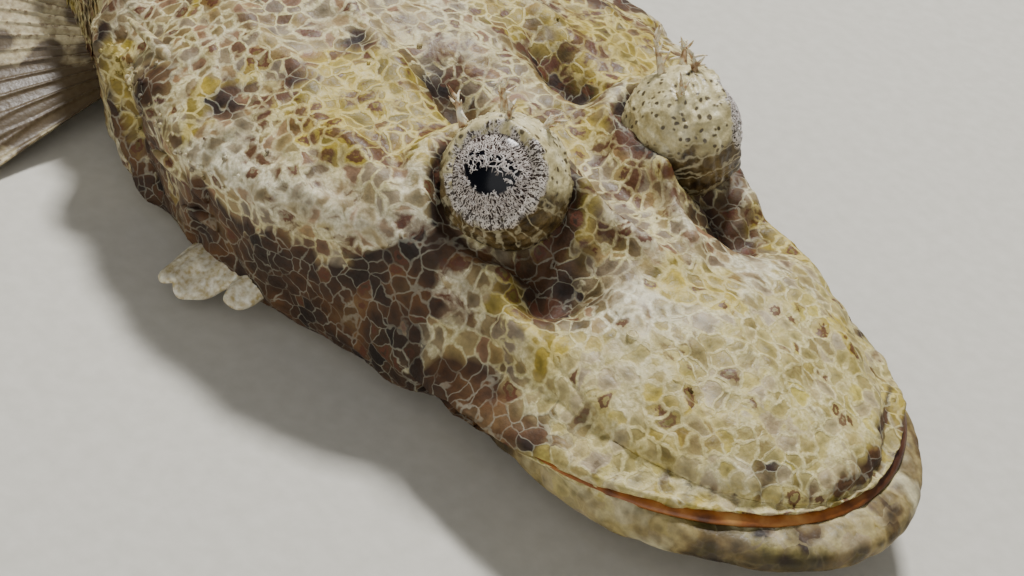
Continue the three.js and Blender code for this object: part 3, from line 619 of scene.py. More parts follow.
    tone = add(tree, "Mix", {0: lines, 6: tone, 7: net_tone}, 2, data_type="RGBA")
    share = add(tree, "Math", {0: cream, 1: 0.85}, operation="MULTIPLY")
    tone = add(tree, "Mix", {0: share, 6: tone, 7: linear("#D0C6AA")}, 2, data_type="RGBA")
    mottle = add(tree, "MapRange", {0: grit, 1: 0.25, 2: 0.75, 3: 0.8, 4: 1.16})
    tone = add(tree, "Mix", {0: 1.0, 6: tone, 7: mottle}, 2, data_type="RGBA", blend_type="MULTIPLY")
    tree.links.new(tone, shader.inputs["Base Color"])

    height = 0.0
    for source, share in ((lines, 0.35), (grit, 0.3), (middle, -0.5)):
        height = add(tree, "Math", {0: source, 1: share, 2: height}, operation="MULTIPLY_ADD")
    bump = add(tree, "Bump", {"Height": height, "Distance": 0.4 * MM, "Strength": 0.8})
    tree.links.new(bump, shader.inputs["Normal"])
    shine = add(tree, "MapRange", {0: grit, 1: 0.3, 2: 0.7, 3: roughness - 0.1, 4: roughness + 0.12})
    shine = add(tree, "Math", {0: dark, 1: 0.14, 2: shine}, operation="MULTIPLY_ADD")
    tree.links.new(shine, shader.inputs["Roughness"])
    shader.inputs["Specular IOR Level"].default_value = 0.34
    shader.inputs["Subsurface Weight"].default_value = 0.06
    shader.inputs["Subsurface Radius"].default_value = (0.004, 0.002, 0.001)
    return material


FLESH_NODES = ("head", "lower_jaw", "trunk", "tail", "tail_stalk", "gill_cover_right", "gill_cover_left")
moist_skin = flathead_skin("moist flathead skin", 1.0, 0.5)
skin_marks = markings(skin_points)
make_piece("skin", skin_points, skin_faces, moist_skin, FLESH_NODES, skin_marks)


# The mouth lining: a thin fold of orange membrane that shows as a line between the lips. It fills the
# cleft a little behind the edge of the upper lip, and widens towards the front of the snout.
LINING_THICK = 0.35


def mouth_lining():
    """Strip along the fan of ribs, and across from under the upper lip to the rim of the lower."""
    turn = np.linspace(0.02, math.pi / 2, 90)[:, None]
    sin, cos = np.sin(turn), np.clip(np.cos(turn), 0, 1)
    edge = lines_of(FAN_X + (SNOUT_X - FAN_X) * sin, LIP_HALF * cos)
    start = lines_of(FAN_X + (FAN_END_X - FAN_X) * sin**1.2, 0)
    out = unit(edge - start)
    t = np.linspace(0, 1, 9)[None, :]
    stand = mix(-2.4, -1.1 + 2.6 * step(sin, 0.12, 0.85), t)
    lip = mix(MOUTH_TIP_Z, edge_z(edge[..., 0]), np.sqrt(cos))
    ripple = 0.03 * np.sin(turn * 37 + 2 * np.sin(turn * 11))
    z = lip - 0.45 - mix(0.45, 0.9, step(sin, 0.4, 0.8)) * t**3 + ripple
    return np.dstack([edge + out * stand[..., None], z])


def closed_sheet(front, back):
    """Points and faces of a thin closed sheet: two equal grids of points, joined all round their rims."""
    rows, columns = front.shape[:2]
    face = np.arange(rows * columns).reshape(rows, columns)
    rim = np.r_[face[0, :-1], face[:-1, -1], face[-1, :0:-1], face[:0:-1, 0]]
    rim_back = rim + face.size
    band = np.stack([rim, np.roll(rim, -1), np.roll(rim_back, -1), rim_back], -1)
    faces = np.concatenate([quads(face), quads(face + face.size)[:, ::-1], band])
    return np.concatenate([front.reshape(-1, 3), back.reshape(-1, 3)]), faces


membrane, tree, shader, place = start_material("wet orange mouth membrane")
patchy = add(tree, "TexNoise", {"Vector": place, "Scale": 1 / (4 * MM), "Detail": 4.0})
tone = add(tree, "ValToRGB", {0: patchy}, stops=[(0.3, "#5C3014"), (0.5, "#9C5C24"), (0.72, "#C4904E")])
# Painted shade: the membrane darkens to dark red-brown towards the fish's left side.
painted_left_shade = add(tree, "SeparateXYZ", {0: place}, 1)
painted_left_shade = add(tree, "MapRange", {0: painted_left_shade, 1: -2 * MM, 2: 8 * MM, 3: 0.0, 4: 0.85})
tone = add(tree, "Mix", {0: painted_left_shade, 6: tone, 7: linear("#35190E")}, 2, data_type="RGBA")
tree.links.new(tone, shader.inputs["Base Color"])
shader.inputs["Roughness"].default_value = 0.42
strip = mouth_lining()
strip = np.concatenate([strip, strip[-2::-1] * flip])
points, faces = closed_sheet(strip, strip - [0, 0, LINING_THICK])
make_piece("mouth_lining", points, faces, membrane)

# The eyes: skin covered turrets about 2 cm across. Each looks outwards, forwards and up. The turret is
# a ball with a round lid about a sunken iris, pale with dark dots above, brown with pale veins below
# and silvery round the lid.
EYE_HALVES = np.array([10.6, 9.8, 10.8])
IRIS_ANGLE = math.radians(41)
LID_ANGLE = math.radians(48)


def eye_axes(side):
    """Centre, and the eye's own axes: along its look, towards the snout, and up across the iris. The
    left eye looks lower than the right one."""
    look = unit(np.array([0.36, -0.72, 0.61] if side < 0 else [0.4, 0.84, 0.36]))
    up = unit(np.array([0.0, 0.0, 1.0]) - look[2] * look)
    fore = np.cross(up, look) * side
    return np.array([EYE_X, side * EYE_Y, EYE_Z]), look, fore, up


def turret(side):
    """Ball in polar steps from the look axis: sunk to the iris, raised at the lid, folded behind it."""
    centre, look, fore, up = eye_axes(side)
    angle = np.linspace(0, math.pi, 97)[:, None]
    around = np.linspace(0, 2 * math.pi, 128, endpoint=False)[None, :]
    way = (
        np.cos(angle)[..., None] * look
        + (np.sin(angle) * np.sin(around))[..., None] * fore
        + (np.sin(angle) * np.cos(around))[..., None] * up
    )
    size = 0.985 - 0.14 * (1 - step(angle, IRIS_ANGLE - 0.05, IRIS_ANGLE + 0.06)) + 0 * around
    scallops = 1 + 0.25 * np.sin(7 * around) + 0.2 * np.sin(17 * around + 1)
    size += 0.055 * bell(angle - LID_ANGLE, 0.085) * scallops
    points = centre + way * EYE_HALVES * size[..., None]
    flat = points.reshape(-1, 3)
    wrinkle = 0.2 * waves(flat, 4.2, 31 + side) + 0.12 * waves(flat, 1.8, 35 + side)
    wrinkle += 0.3 * (1 - np.abs(waves(flat * [1, 1, 1.8], 5, 37, 2))) ** 4
    behind = step(angle, IRIS_ANGLE + 0.02, LID_ANGLE + 0.25) + 0 * around
    rings = 0.1 * np.sin(angle * 42) * span(angle, LID_ANGLE + 0.15, LID_ANGLE + 0.3, 1.5, 2.0)
    points = points + way * (wrinkle.reshape(behind.shape) * behind + rings)[..., None]
    polar = lines_of(np.sin(around), np.cos(around), 0.16 * angle)
    fringe = 1 - step(angle, IRIS_ANGLE, IRIS_ANGLE + 0.36) - 0.42 * step(np.sin(around + 0.7), -0.3, 0.7)
    return points, way, polar, fringe


def polar_faces(rows, columns):
    """Quads of a polar grid whose last column joins its first and whose two ends close to a point."""
    grid = np.arange(rows * columns).reshape(rows, columns)
    grid = np.hstack([grid, grid[:, :1]])
    grid[0], grid[-1] = grid[0, 0], grid[-1, 0]
    return quads(grid)


# Wet skin drawn over a ball: cream with brown dots above, dark olive with pale veins that run away
# from the lid below, curls of silver round the lid, and shiny as all of the eye is.
DOT_SPACING, DOT_SHIFT, VEIN_SHIFT, CURL_SHIFT = 1.45 * MM, 1.6 * MM, 0.2, 0.16
VEIN_COUNT, CURL_COUNT = 26, 78


def streaks(tree, place, count, full, end, strength=1.0):
    """Lines between cells, a count of them round the eye, that fade from full to end."""
    cells = {"Vector": place, "Scale": count / (2 * math.pi)}
    border = add(tree, "TexVoronoi", cells, feature="DISTANCE_TO_EDGE")
    return add(tree, "MapRange", {0: border, 1: full, 2: end, 3: strength, 4: 0.0})


turret_skin, tree, shader, place = start_material("wet wrinkled eye skin")
polar = add(tree, "Attribute", out="Vector", attribute_name="polar")
crown = add(tree, "Attribute", out="Fac", attribute_name="crown")
fringe = add(tree, "Attribute", out="Fac", attribute_name="fringe")
grit = add(tree, "TexNoise", {"Vector": place, "Scale": 1 / (0.5 * MM), "Detail": 4.0})
drift = add(tree, "TexNoise", {"Vector": place, "Scale": 1 / (2.5 * MM), "Detail": 2.0})
dots = {"Vector": moved(tree, place, drift, DOT_SHIFT), "Scale": 1 / DOT_SPACING, "Randomness": 0.7}
dots = add(tree, "TexVoronoi", dots, feature="F1")
dots = add(tree, "MapRange", {0: dots, 1: 0.2, 2: 0.32, 3: 0.92, 4: 0.0})
upper = add(tree, "ValToRGB", {0: drift}, stops=[(0.3, "#B0A273"), (0.5, "#D0C392"), (0.7, "#E4DAB0")])
upper = add(tree, "Mix", {0: dots, 6: upper, 7: linear("#463923")}, 2, data_type="RGBA")
lower = add(tree, "ValToRGB", {0: drift}, stops=[(0.3, "#2B2013"), (0.5, "#584626"), (0.7, "#7C6840")])
veins = streaks(tree, moved(tree, polar, drift, VEIN_SHIFT), VEIN_COUNT, 0.02, 0.07, 0.8)
lower = add(tree, "Mix", {0: veins, 6: lower, 7: linear("#B5AA88")}, 2, data_type="RGBA")
tone = add(tree, "Mix", {0: crown, 6: lower, 7: upper}, 2, data_type="RGBA")
curls = streaks(tree, moved(tree, polar, grit, CURL_SHIFT), CURL_COUNT, 0.07, 0.16)
curls = add(tree, "Mix", {0: curls, 6: linear("#3A2E24"), 7: linear("#D5CBBE")}, 2, data_type="RGBA")
fringe = add(tree, "Math", {0: drift, 1: 2.2, 2: fringe}, operation="MULTIPLY_ADD")
fringe = add(tree, "MapRange", {0: fringe, 1: 1.55, 2: 1.8})
tone = add(tree, "Mix", {0: fringe, 6: tone, 7: curls}, 2, data_type="RGBA")
mottle = add(tree, "MapRange", {0: grit, 1: 0.25, 2: 0.75, 3: 0.75, 4: 1.15})
tone = add(tree, "Mix", {0: 1.0, 6: tone, 7: mottle}, 2, data_type="RGBA", blend_type="MULTIPLY")
tree.links.new(tone, shader.inputs["Base Color"])
bump = add(tree, "Bump", {"Height": grit, "Distance": 0.25 * MM, "Strength": 0.6})
tree.links.new(bump, shader.inputs["Normal"])
shader.inputs["Roughness"].default_value = 0.36

# The iris: a low dome inside the lid. Fine silver strokes run in from its rim over a dark ground, and
# the pupil in the middle is a black kidney, longer towards the snout than it is high.
IRIS_RADIUS, IRIS_DOME, IRIS_THICK = 6.7, 9.5, 1.6
PUPIL_LONG, PUPIL_TALL = 4.6, 3.3
STROKE_COUNT, STROKE_SHIFT = 84, 0.14


def iris_dome(side, fore_mm, up_mm, lift=0.0):
    """Point of the dome over a place on the iris, given towards the snout and up, in millimetres."""
    centre, look, fore, up = eye_axes(side)
    high = np.sqrt(IRIS_DOME**2 - np.minimum(fore_mm**2 + up_mm**2, 60)) + lift
    return centre + high[..., None] * look + fore_mm[..., None] * fore + up_mm[..., None] * up


def iris(side):
    """Polar grid of the dome with a shallow back, how far each point is pupil, and its polar place."""
    out = np.linspace(0, 1, 30)[:, None]
    around = np.linspace(0, 2 * math.pi, 96, endpoint=False)[None, :]
    f, u = IRIS_RADIUS * out * np.sin(around), IRIS_RADIUS * out * np.cos(around)
    front = iris_dome(side, f, u, 0.06 * np.sin(9 * around) * out**3)
    back = iris_dome(side, f, u, -IRIS_THICK)[::-1]
    kidney = np.hypot(f / PUPIL_LONG, (u + 0.2 - 0.05 * f**2) / PUPIL_TALL)
    dark = 1 - step(kidney, 0.92, 1.04)
    polar = lines_of(np.sin(around), np.cos(around), 0.42 * out)
    polar = np.concatenate([polar, polar[::-1]])
    return np.concatenate([front, back]), np.concatenate([dark, 0 * dark]), polar


iris_skin, tree, shader, place = start_material("silvery iris under a clear cornea")
polar = add(tree, "Attribute", out="Vector", attribute_name="polar")
pupil = add(tree, "Attribute", out="Fac", attribute_name="pupil")
specks = add(tree, "TexNoise", {"Vector": place, "Scale": 1 / (0.5 * MM), "Detail": 3.0})
strokes = streaks(tree, moved(tree, polar, specks, STROKE_SHIFT), STROKE_COUNT, 0.06, 0.15)
ground = add(tree, "ValToRGB", {0: specks}, stops=[(0.35, "#17110F"), (0.6, "#3A2D27"), (0.8, "#6A584C")])
silver = add(tree, "ValToRGB", {0: specks}, stops=[(0.3, "#9C8F88"), (0.55, "#CDC3B9"), (0.8, "#EEE8E0")])
tone = add(tree, "Mix", {0: strokes, 6: ground, 7: silver}, 2, data_type="RGBA")
tone = add(tree, "Mix", {0: pupil, 6: tone, 7: linear("#05070F")}, 2, data_type="RGBA")
tree.links.new(tone, shader.inputs["Base Color"])
shader.inputs["Roughness"].default_value = 0.22
shader.inputs["Specular IOR Level"].default_value = 0.2

# The flaps over the pupil: branched silver threads of skin that grow over the pupil, long from above
# and short from below. They are flat ribbons that lie on the iris.
THREAD_STEPS = 8
THREAD_COUNT = 64


def branching_threads(seed):
    """Threads as [thread, step, (fore, up)]. A main thread starts at the rim of the pupil and wanders
    inwards, and three side threads leave each main one on alternate sides."""
    draw = np.random.default_rng(seed)
    around = np.linspace(0, 2 * math.pi, THREAD_COUNT, endpoint=False) + draw.normal(0, 0.08, THREAD_COUNT)
    above = 0.5 + 0.5 * np.cos(around - 0.3)
    rim = draw.uniform(0.62, 1.3, THREAD_COUNT) + 0.25 * (1 - step(above, 0.2, 0.5))
    start = np.stack([PUPIL_LONG * rim * np.sin(around), (PUPIL_TALL + 0.4) * rim * np.cos(around)], -1)
    heading = around + math.pi + draw.normal(0, 0.6, THREAD_COUNT)
    length = draw.uniform(0.7, 1.2, THREAD_COUNT) + 2.2 * above**2 * draw.uniform(0.4, 1.0, THREAD_COUNT)
    t = np.linspace(0, 1, THREAD_STEPS)[None, :]

    def wander(start, heading, length):
        curl = draw.normal(0, 1.1, (len(length), 1)) * t
        turn = heading[:, None] + curl + 0.5 * np.sin(9 * t + draw.uniform(0, 6, (len(length), 1)))
        stride = length[:, None] / (THREAD_STEPS - 1)
        moves = np.stack([np.sin(turn) * stride, np.cos(turn) * stride], -1)
        return start[:, None] + np.cumsum(moves, 1) - moves[:, :1], turn

    mains, turns = wander(start, heading, length)
    threads, widths = [mains], [np.full(THREAD_COUNT, 0.12)]
    for knot, lean in ((1, 0.9), (3, -0.9), (5, 0.9)):
        short = length * draw.uniform(0.3, 0.55, THREAD_COUNT)
        twigs, _ = wander(mains[:, knot], turns[:, knot] + lean, short)
        threads.append(twigs)
        widths.append(np.full(THREAD_COUNT, 0.1))
    return np.concatenate(threads), np.concatenate(widths)


def threads_mesh(side, seed):
    """Each thread is a ribbon with a raised middle, that narrows to its tip and is closed below."""
    paths, widths = branching_threads(seed)
    way = unit(np.gradient(paths, axis=1))
    across = np.stack([-way[..., 1], way[..., 0]], -1)
    half = widths[:, None] * np.linspace(1, 0.35, THREAD_STEPS)[None, :]
    columns = []
    for place, lift in ((-1, 0.04), (0, 0.18), (1, 0.04), (0, -0.12)):
        at = paths + across * (place * half)[..., None]
        columns.append(iris_dome(side, at[..., 0], at[..., 1], lift))
    points = np.stack(columns, 2)
    block = np.arange(THREAD_STEPS * 4).reshape(THREAD_STEPS, 4)
    block = np.hstack([block, block[:, :1]])
    ends = np.array([block[0, [0, 1, 2, 3]], block[-1, [3, 2, 1, 0]]])
    faces = np.vstack([quads(block), ends])
    return points.reshape(-1, 3), repeated(faces, len(points), THREAD_STEPS * 4)


thread_skin, tree, shader, place = start_material("silvery skin threads")
shader.inputs["Roughness"].default_value = 0.35
specks = add(tree, "TexNoise", {"Vector": place, "Scale": 1 / (0.7 * MM), "Detail": 2.0})
tone = add(tree, "ValToRGB", {0: specks}, stops=[(0.3, "#A3968F"), (0.5, "#D0C7C0"), (0.75, "#F2EDE6")])
tree.links.new(tone, shader.inputs["Base Color"])

SIDES = (("right", -1), ("left", 1))
for side_name, side in SIDES:
    points, way, polar, fringe = turret(side)
    rows, columns = points.shape[:2]
    flat = points.reshape(-1, 3)
    bright = (way @ np.array([-0.12, -0.1 * side, 0.95])).ravel() + 0.15 * waves(flat, 6, 41)
    marks = {"crown": step(bright, 0.0, 0.3), "fringe": fringe.ravel(), "polar": polar.reshape(-1, 3)}
    faces = polar_faces(rows, columns)
    make_piece(f"eye_turret_{side_name}", flat, faces, turret_skin, (f"eye_{side_name}",), marks)
    points, dark, polar = iris(side)
    faces = polar_faces(*points.shape[:2])
    marks = {"pupil": dark.ravel(), "polar": polar.reshape(-1, 3)}
    make_piece(f"iris_{side_name}", points.reshape(-1, 3), faces, iris_skin, marks=marks)
    points, faces = threads_mesh(side, 51 + side)
    make_piece(f"pupil_threads_{side_name}", points, faces, thread_skin)


# The tassels on the eyes: branched stalks of soft skin that stand up behind each lid. The snout has two
# pairs of nostril tubes, the cheeks, the gill covers and the rims of the eye sockets have bony spikes
# under thin skin, and small soft warts grow on the nape and along the edge of the gill cover.
def along_bend(roots, ways, lengths, bends, t):
    """Points of centre lines: root + way * length * t + bend * t squared."""
    straight = roots[:, None] + ways[:, None] * (lengths[:, None] * t)[..., None]
    return straight + bends[:, None] * (t**2)[:, None]


def tapers(roots, ways, lengths, radii, bends, rows=9, sides=8):
    """Closed twigs as one mesh: round each centre line runs a circle, whose radius shrinks with the
    root of what is left of the length."""
    t = np.r_[0, np.linspace(0, 1, rows - 1)]
    ways = unit(ways)
    centre = along_bend(roots, ways, lengths, bends, t)
    across = unit(np.cross(ways, [0.31, 0.17, 0.94]))
    third = np.cross(ways, across)
    around = np.linspace(0, 2 * math.pi, sides, endpoint=False)
    circle = across[:, None] * np.cos(around)[:, None] + third[:, None] * np.sin(around)[:, None]
    size = radii[:, None] * np.sqrt(1 - t)
    size[:, 0] = 0
    points = centre[:, :, None] + circle[:, None] * size[..., None, None]
    return points.reshape(-1, 3), repeated(polar_faces(rows, sides), len(points), rows * sides)


def joined(parts):
    """Several (points, faces) meshes as one."""
    starts = np.cumsum([0] + [len(points) for points, _ in parts[:-1]])
    faces = np.concatenate([faces + at for (_, faces), at in zip(parts, starts)])
    return np.concatenate([points for points, _ in parts]), faces


def eye_tassels(side, seed):
    """Four bent stalks, and seven twigs that leave each of them by chance on all sides."""
    draw = np.random.default_rng(seed)
    feet = np.array([[-5.2, -2.2, 8.2], [-1.2, 0.6, 9.4], [-6.8, 4.2, 7.0], [1.6, -4.0, 8.6]])
    roots = np.array([EYE_X, side * EYE_Y, EYE_Z]) + feet * [1, side, 1]
    ways = np.array([[-0.35, -0.1, 1], [0.1, 0.2, 1], [-0.6, 0.1, 0.9], [0.3, -0.3, 0.9]])
    ways = unit(ways * [1, side, 1])
    lengths = np.array([6.4, 4.6, 5.0, 3.0])
    bends = draw.normal(0, 0.9, (4, 3)) * [1, 1, 0.3]
    parts = [tapers(roots, ways, lengths, np.full(4, 0.75), bends, 10, 10)]
    twig_roots = along_bend(roots, ways, lengths, bends, np.linspace(0.25, 0.92, 7)).reshape(-1, 3)
    twig_ways = (ways[:, None] * 0.7 + draw.normal(0, 0.75, (4, 7, 3))).reshape(-1, 3)
    twig_lengths = draw.uniform(1.6, 3.0, 28)
    twig_bends = draw.normal(0, 0.5, (28, 3)) + [0, 0, 0.3]
    parts.append(tapers(twig_roots, twig_ways, twig_lengths, np.full(28, 0.36), twig_bends, 8, 6))
    return joined(parts)


def head_spikes(side):
    """Bony spikes as straight tapers: two on the cheek, one on the gill cover, four on the eye socket."""
    turn = 1.5 + 0.48 * np.arange(4)
    roots = [[60, 46, 22], [62, 45, 17], [42, 42, 34]]
    ways = [[-1, 0.3, 0.12], [-1, 0.34, -0.1], [-1, 0.12, 0.12]]
    roots += lines_of(EYE_X + 12.6 * np.cos(turn), EYE_Y - 11.6 * np.sin(turn), 37.2).tolist()
    ways += [[-0.8, -0.15, 0.9]] * 4
    lengths = np.array([14, 9, 17] + [3.6] * 4)
    radii = np.array([2.0, 1.6, 1.5] + [0.8] * 4)
    flips = np.array([1, side, 1])
    return tapers(np.array(roots) * flips, np.array(ways) * flips, lengths, radii, np.zeros((7, 3)), 14, 14)


def nostril_tubes(side):
    """Short open tubes: a ring of wall that runs up outside, over the rim and down inside."""
    around = np.linspace(0, 2 * math.pi, 20, endpoint=False)[None, :, None]
    rise = np.array([0, 0.5, 0.9, 1.0, 0.97, 0.6, 0.25, 0.1])[:, None, None]
    wide = np.array([1.9, 1.2, 0.95, 0.85, 0.7, 0.6, 0.5, 0.0])[:, None, None]
    parts = []
    for x, y in ((139, 14.0), (130, 15.5)):
        centre = np.array([x, side * y, top_height(np.array(x), np.array(y)) - 0.9])
        lean = np.array([-0.5, 0.4 * side, 0.8]) * 1.9
        ring = np.concatenate([np.cos(around), np.sin(around), 0 * around], -1)
        points = centre + rise * lean + wide * ring
        base = np.broadcast_to(centre, (1, 20, 3))
        parts.append((np.concatenate([base, points]).reshape(-1, 3), polar_faces(9, 20)))
    return joined(parts)


def warts(count, seed):
    """Small soft tapers at chance places of the skin's grid: along the gill cover's edge, the ridge
    that runs back from the eye, and the nape."""
    draw = np.random.default_rng(seed)
    x, y, z = skin_points[: len(skin_normals)].T
    likely = 0.1 * bell(np.abs(y) - 15, 4) + bell(z - shoulder_z(x), 3)
    likely += 3 * bell(x - gill_edge(z) - 1.5, 1.2)
    likely *= span(x, 14, 20, 62, 72) * step(z, 8, 14) * (np.abs(y) > 3)
    spots = draw.choice(len(x), count, replace=False, p=likely / likely.sum())
    ways = skin_normals[spots] + [-0.5, 0, 0] + draw.normal(0, 0.25, (count, 3))
    lengths = draw.uniform(1.0, 2.3, count)
    roots = skin_points[spots] - skin_normals[spots] * 0.4
    return tapers(roots, ways, lengths, lengths * 0.22, draw.normal(0, 0.25, (count, 3)), 6, 6)


tassel_skin, tree, shader, place = start_material("soft speckled skin tassels")
specks = add(tree, "TexNoise", {"Vector": place, "Scale": 1 / (1.6 * MM), "Detail": 3.0})
tone = add(tree, "ValToRGB", {0: specks}, stops=[
    (0.32, "#7E5A3C"), (0.42, "#B99C74"), (0.52, "#DDD2B2"), (0.75, "#F0E9D8"),
])
tree.links.new(tone, shader.inputs["Base Color"])
shader.inputs["Roughness"].default_value = 0.4
shader.inputs["Subsurface Weight"].default_value = 0.15
shader.inputs["Subsurface Radius"].default_value = (0.002, 0.001, 0.0006)

parts = [head_spikes(-1), head_spikes(1), nostril_tubes(-1), nostril_tubes(1), warts(130, 61)]
points, faces = joined(parts)
knob_marks = markings(points)
knob_marks["olive"] = knob_marks["olive"] * (points[:, 0] < 125)
make_piece("spikes_and_warts", points, faces, moist_skin, marks=knob_marks)
for side_name, side in SIDES:
    points, faces = eye_tassels(side, 71 + side)
    make_piece(f"eye_tassels_{side_name}", points, faces, tassel_skin)


# The fins: thin membranes stretched on jointed rays that fork in their outer half. The pectoral and
# pelvic fins lie spread on the ground, and the tail fin stands upright. A flap of soft skin without
# rays hangs under each cheek.
def sheet_normals(middle):
    """Unit normals of a sheet, from the cross product of its two tangents."""
    return unit(np.cross(np.gradient(middle, axis=0), np.gradient(middle, axis=1)))


def film(middle, normal, half, ridge, reach):
    """Points and faces of a closed sheet, a half thickness to each side of its middle, and its marks:
    where its rays lie and how far out a point is."""
    points, faces = closed_sheet(middle + normal * half[..., None], middle - normal * half[..., None])
    marks = {"ridge": ridge, "reach": reach}
    marks = {mark: np.tile(np.broadcast_to(value, half.shape).ravel(), 2) for mark, value in marks.items()}
    return points, faces, marks


def fin_sheet(rays, start, way, reach, bend, notch, thick, fork=1.0, wave=0.5, rows=56, per_ray=12):
    """Each point is start + way * reach * t + bend * t squared, for t from root to tip, plus a ripple.
    Half the thickness is a thin web plus a bell on each ray, which parts into two where it forks."""
    f = np.linspace(0, 1, (rays - 1) * per_ray + 1)
    t = np.linspace(0, 1, rows)[:, None]
    phase = (f * (rays - 1) + 0.5) % 1 - 0.5
    way = unit(way(f))
    web = mix(1, notch, np.sin(math.pi * np.abs(phase)) ** 2)
    middle = start(f) + way * ((reach(f) * web) * t)[..., None] + bend(f) * (t**2)[..., None]
    normal = sheet_normals(middle)
    ripple = wave * t * np.sin(5 * math.pi * f + 3 * t) + 0.35 * wave * t * np.sin(math.pi * (rays - 1) * f)
    split = fork * step(t, 0.42, 0.7)
    ridge = bell(np.abs(phase) - 0.2 * split, 0.1)
    joint = 1 - 0.22 * bell((t * 24) % 1 - 0.5, 0.16) * step(t, 0.2, 0.35)
    half = 0.14 + ridge * mix(thick[0], thick[1], t) / 2 * joint
    middle = middle + normal * ripple[..., None]
    middle[..., 2] = 0.7 + np.logaddexp(0, 1.5 * (middle[..., 2] - 0.7)) / 1.5
    return film(middle, normal, half, ridge, t)


def pectoral_fin(side):
    """A broad fan from behind the gill cover: its rays turn from backwards to outwards."""
    turn = lambda f: mix(3.1, 1.25, f)
    return fin_sheet(
        15,
        lambda f: lines_of(mix(-4, 5, f), side * mix(32, 31, f), mix(22, 9, f)),
        lambda f: lines_of(np.cos(turn(f)), side * (np.abs(np.sin(turn(f))) + 0.22), mix(0.1, -0.17, f)),
        lambda f: 40 + 26 * np.sin(math.pi * np.clip(0.9 * f + 0.12, 0, 1)),
        lambda f: lines_of(0, 0, -3 - 3 * (1 - f)),
        0.988, (1.15, 0.35), wave=0.8,
    )


def pelvic_fin(side):
    """A long fan from under the trunk: its rays turn from outwards to backwards."""
    turn = lambda f: mix(1.75, 2.95, f)
    return fin_sheet(
        8,
        lambda f: lines_of(mix(-12, -24, f), side * mix(25, 18, f), 3.6),
        lambda f: lines_of(np.cos(turn(f)), side * np.sin(turn(f)), -0.03),
        lambda f: 50 + 30 * np.sin(math.pi * np.clip(0.25 + 0.6 * f, 0, 1)),
        lambda f: lines_of(-6, 0, -0.9),
        0.982, (1.5, 0.5), wave=0.6, per_ray=20,
    )


def first_dorsal_fin():
    """A low sail of nine spines that lean back, highest at the third."""
    reach = curve_through([(0, 16), (0.14, 34), (0.3, 38), (0.6, 30), (0.85, 18), (1, 10)])
    at = lambda f: mix(-6, -66, f)
    return fin_sheet(
        9,
        lambda f: lines_of(at(f), 0, back_line(at(f)) - 4),
        lambda f: lines_of(-0.75 - 0.5 * f, 0.05, 1 - 0.45 * f),
        reach,
        lambda f: lines_of(-3, 1.5, -1),
        0.72, (1.5, 0.3), fork=0.0, wave=0.7, per_ray=16,
    )


def second_dorsal_fin():
    """A long even sail of eleven rays that lean back."""
    reach = curve_through([(0, 26), (0.12, 33), (0.5, 29), (1, 20)])
    at = lambda f: mix(-82, -196, f)
    return fin_sheet(
        11,
        lambda f: lines_of(at(f), 0, back_line(at(f)) - 4),
        lambda f: lines_of(-0.85 - 0.35 * f, -0.04, 0.8),
        reach,
        lambda f: lines_of(-3, -1.5, -1.5),
        0.962, (1.1, 0.35), wave=0.6, per_ray=16,
    )


def anal_fin():
    """A long even web of eleven rays that lies folded to the left on the floor."""
    at = lambda f: mix(-92, -202, f)
    return fin_sheet(
        11,
        lambda f: lines_of(at(f), 0, belly_line(at(f)) + 4),
        lambda f: lines_of(-0.72, 0.62, -0.16 - 0.016 * belly_line(at(f))),
        lambda f: 26 - 4 * f,
        lambda f: lines_of(-2, 2, -2.2),
        0.955, (1.1, 0.35), wave=0.3, per_ray=16,
    )


def tail_fin():
    """An upright rounded fan of thirteen rays."""
    turn = lambda f: mix(-0.235, 0.36, f)
    return fin_sheet(
        13,
        lambda f: lines_of(TAIL_BASE_X + 6, 0, mix(14, 29, f)),
        lambda f: lines_of(-np.cos(turn(f)), 0, np.sin(turn(f))),
        lambda f: 75 - 12 * (2 * f - 1) ** 2,
        lambda f: lines_of(0, 3, 0),
        0.988, (1.4, 0.4), wave=0.7,
    )


def cheek_flap(side):
    """A pale flap of skin under the cheek. Its reach is the higher of two arches, a small lobe in front
    and a broad one behind, it is ruffled towards its rim, and its half thickness closes at the rim."""
    f = np.linspace(0, 1, 85)[None, :]
    t = np.linspace(0, 1, 30)[:, None]
    way = unit(lines_of(0.12 - 0.3 * f, side, -0.28))
    front_lobe = 6.5 * np.clip(1 - ((f - 0.15) / 0.17) ** 2, 0, 1) ** 0.6
    rear_lobe = 12.5 * np.clip(1 - ((f - 0.66) / 0.36) ** 2, 0, 1) ** 0.55
    rear_lobe *= 1 - 0.12 * bell(f - 0.62, 0.05)
    reach = 4 + np.maximum(front_lobe, rear_lobe)
    middle = lines_of(72 - 17 * f, side * 38, 10.5) + way * (reach * t)[..., None]
    middle = middle + np.array([0, 0, -1]) * (t**2)[..., None]
    normal = sheet_normals(middle)
    ruffle = 1.2 * t**1.5 * np.sin(4 * math.pi * f + 1.5 * t + 1)
    ruffle = ruffle + 0.3 * t * np.sin(13 * math.pi * f + 5 * t)
    half = 0.12 + 1.3 * np.sqrt(np.clip(1 - t**4, 0, 1) * np.clip(1 - (2 * f - 1) ** 8, 0, 1))
    middle = middle + normal * ruffle[..., None]
    return film(middle, normal, half, 0, t)


# Fin web: a thin moist film that glows a little where light comes through, cream flecked with brown on
# its rays, with brown spots and blotches and a clear pale rim.
SPOT_SPACING = 6.5 * MM


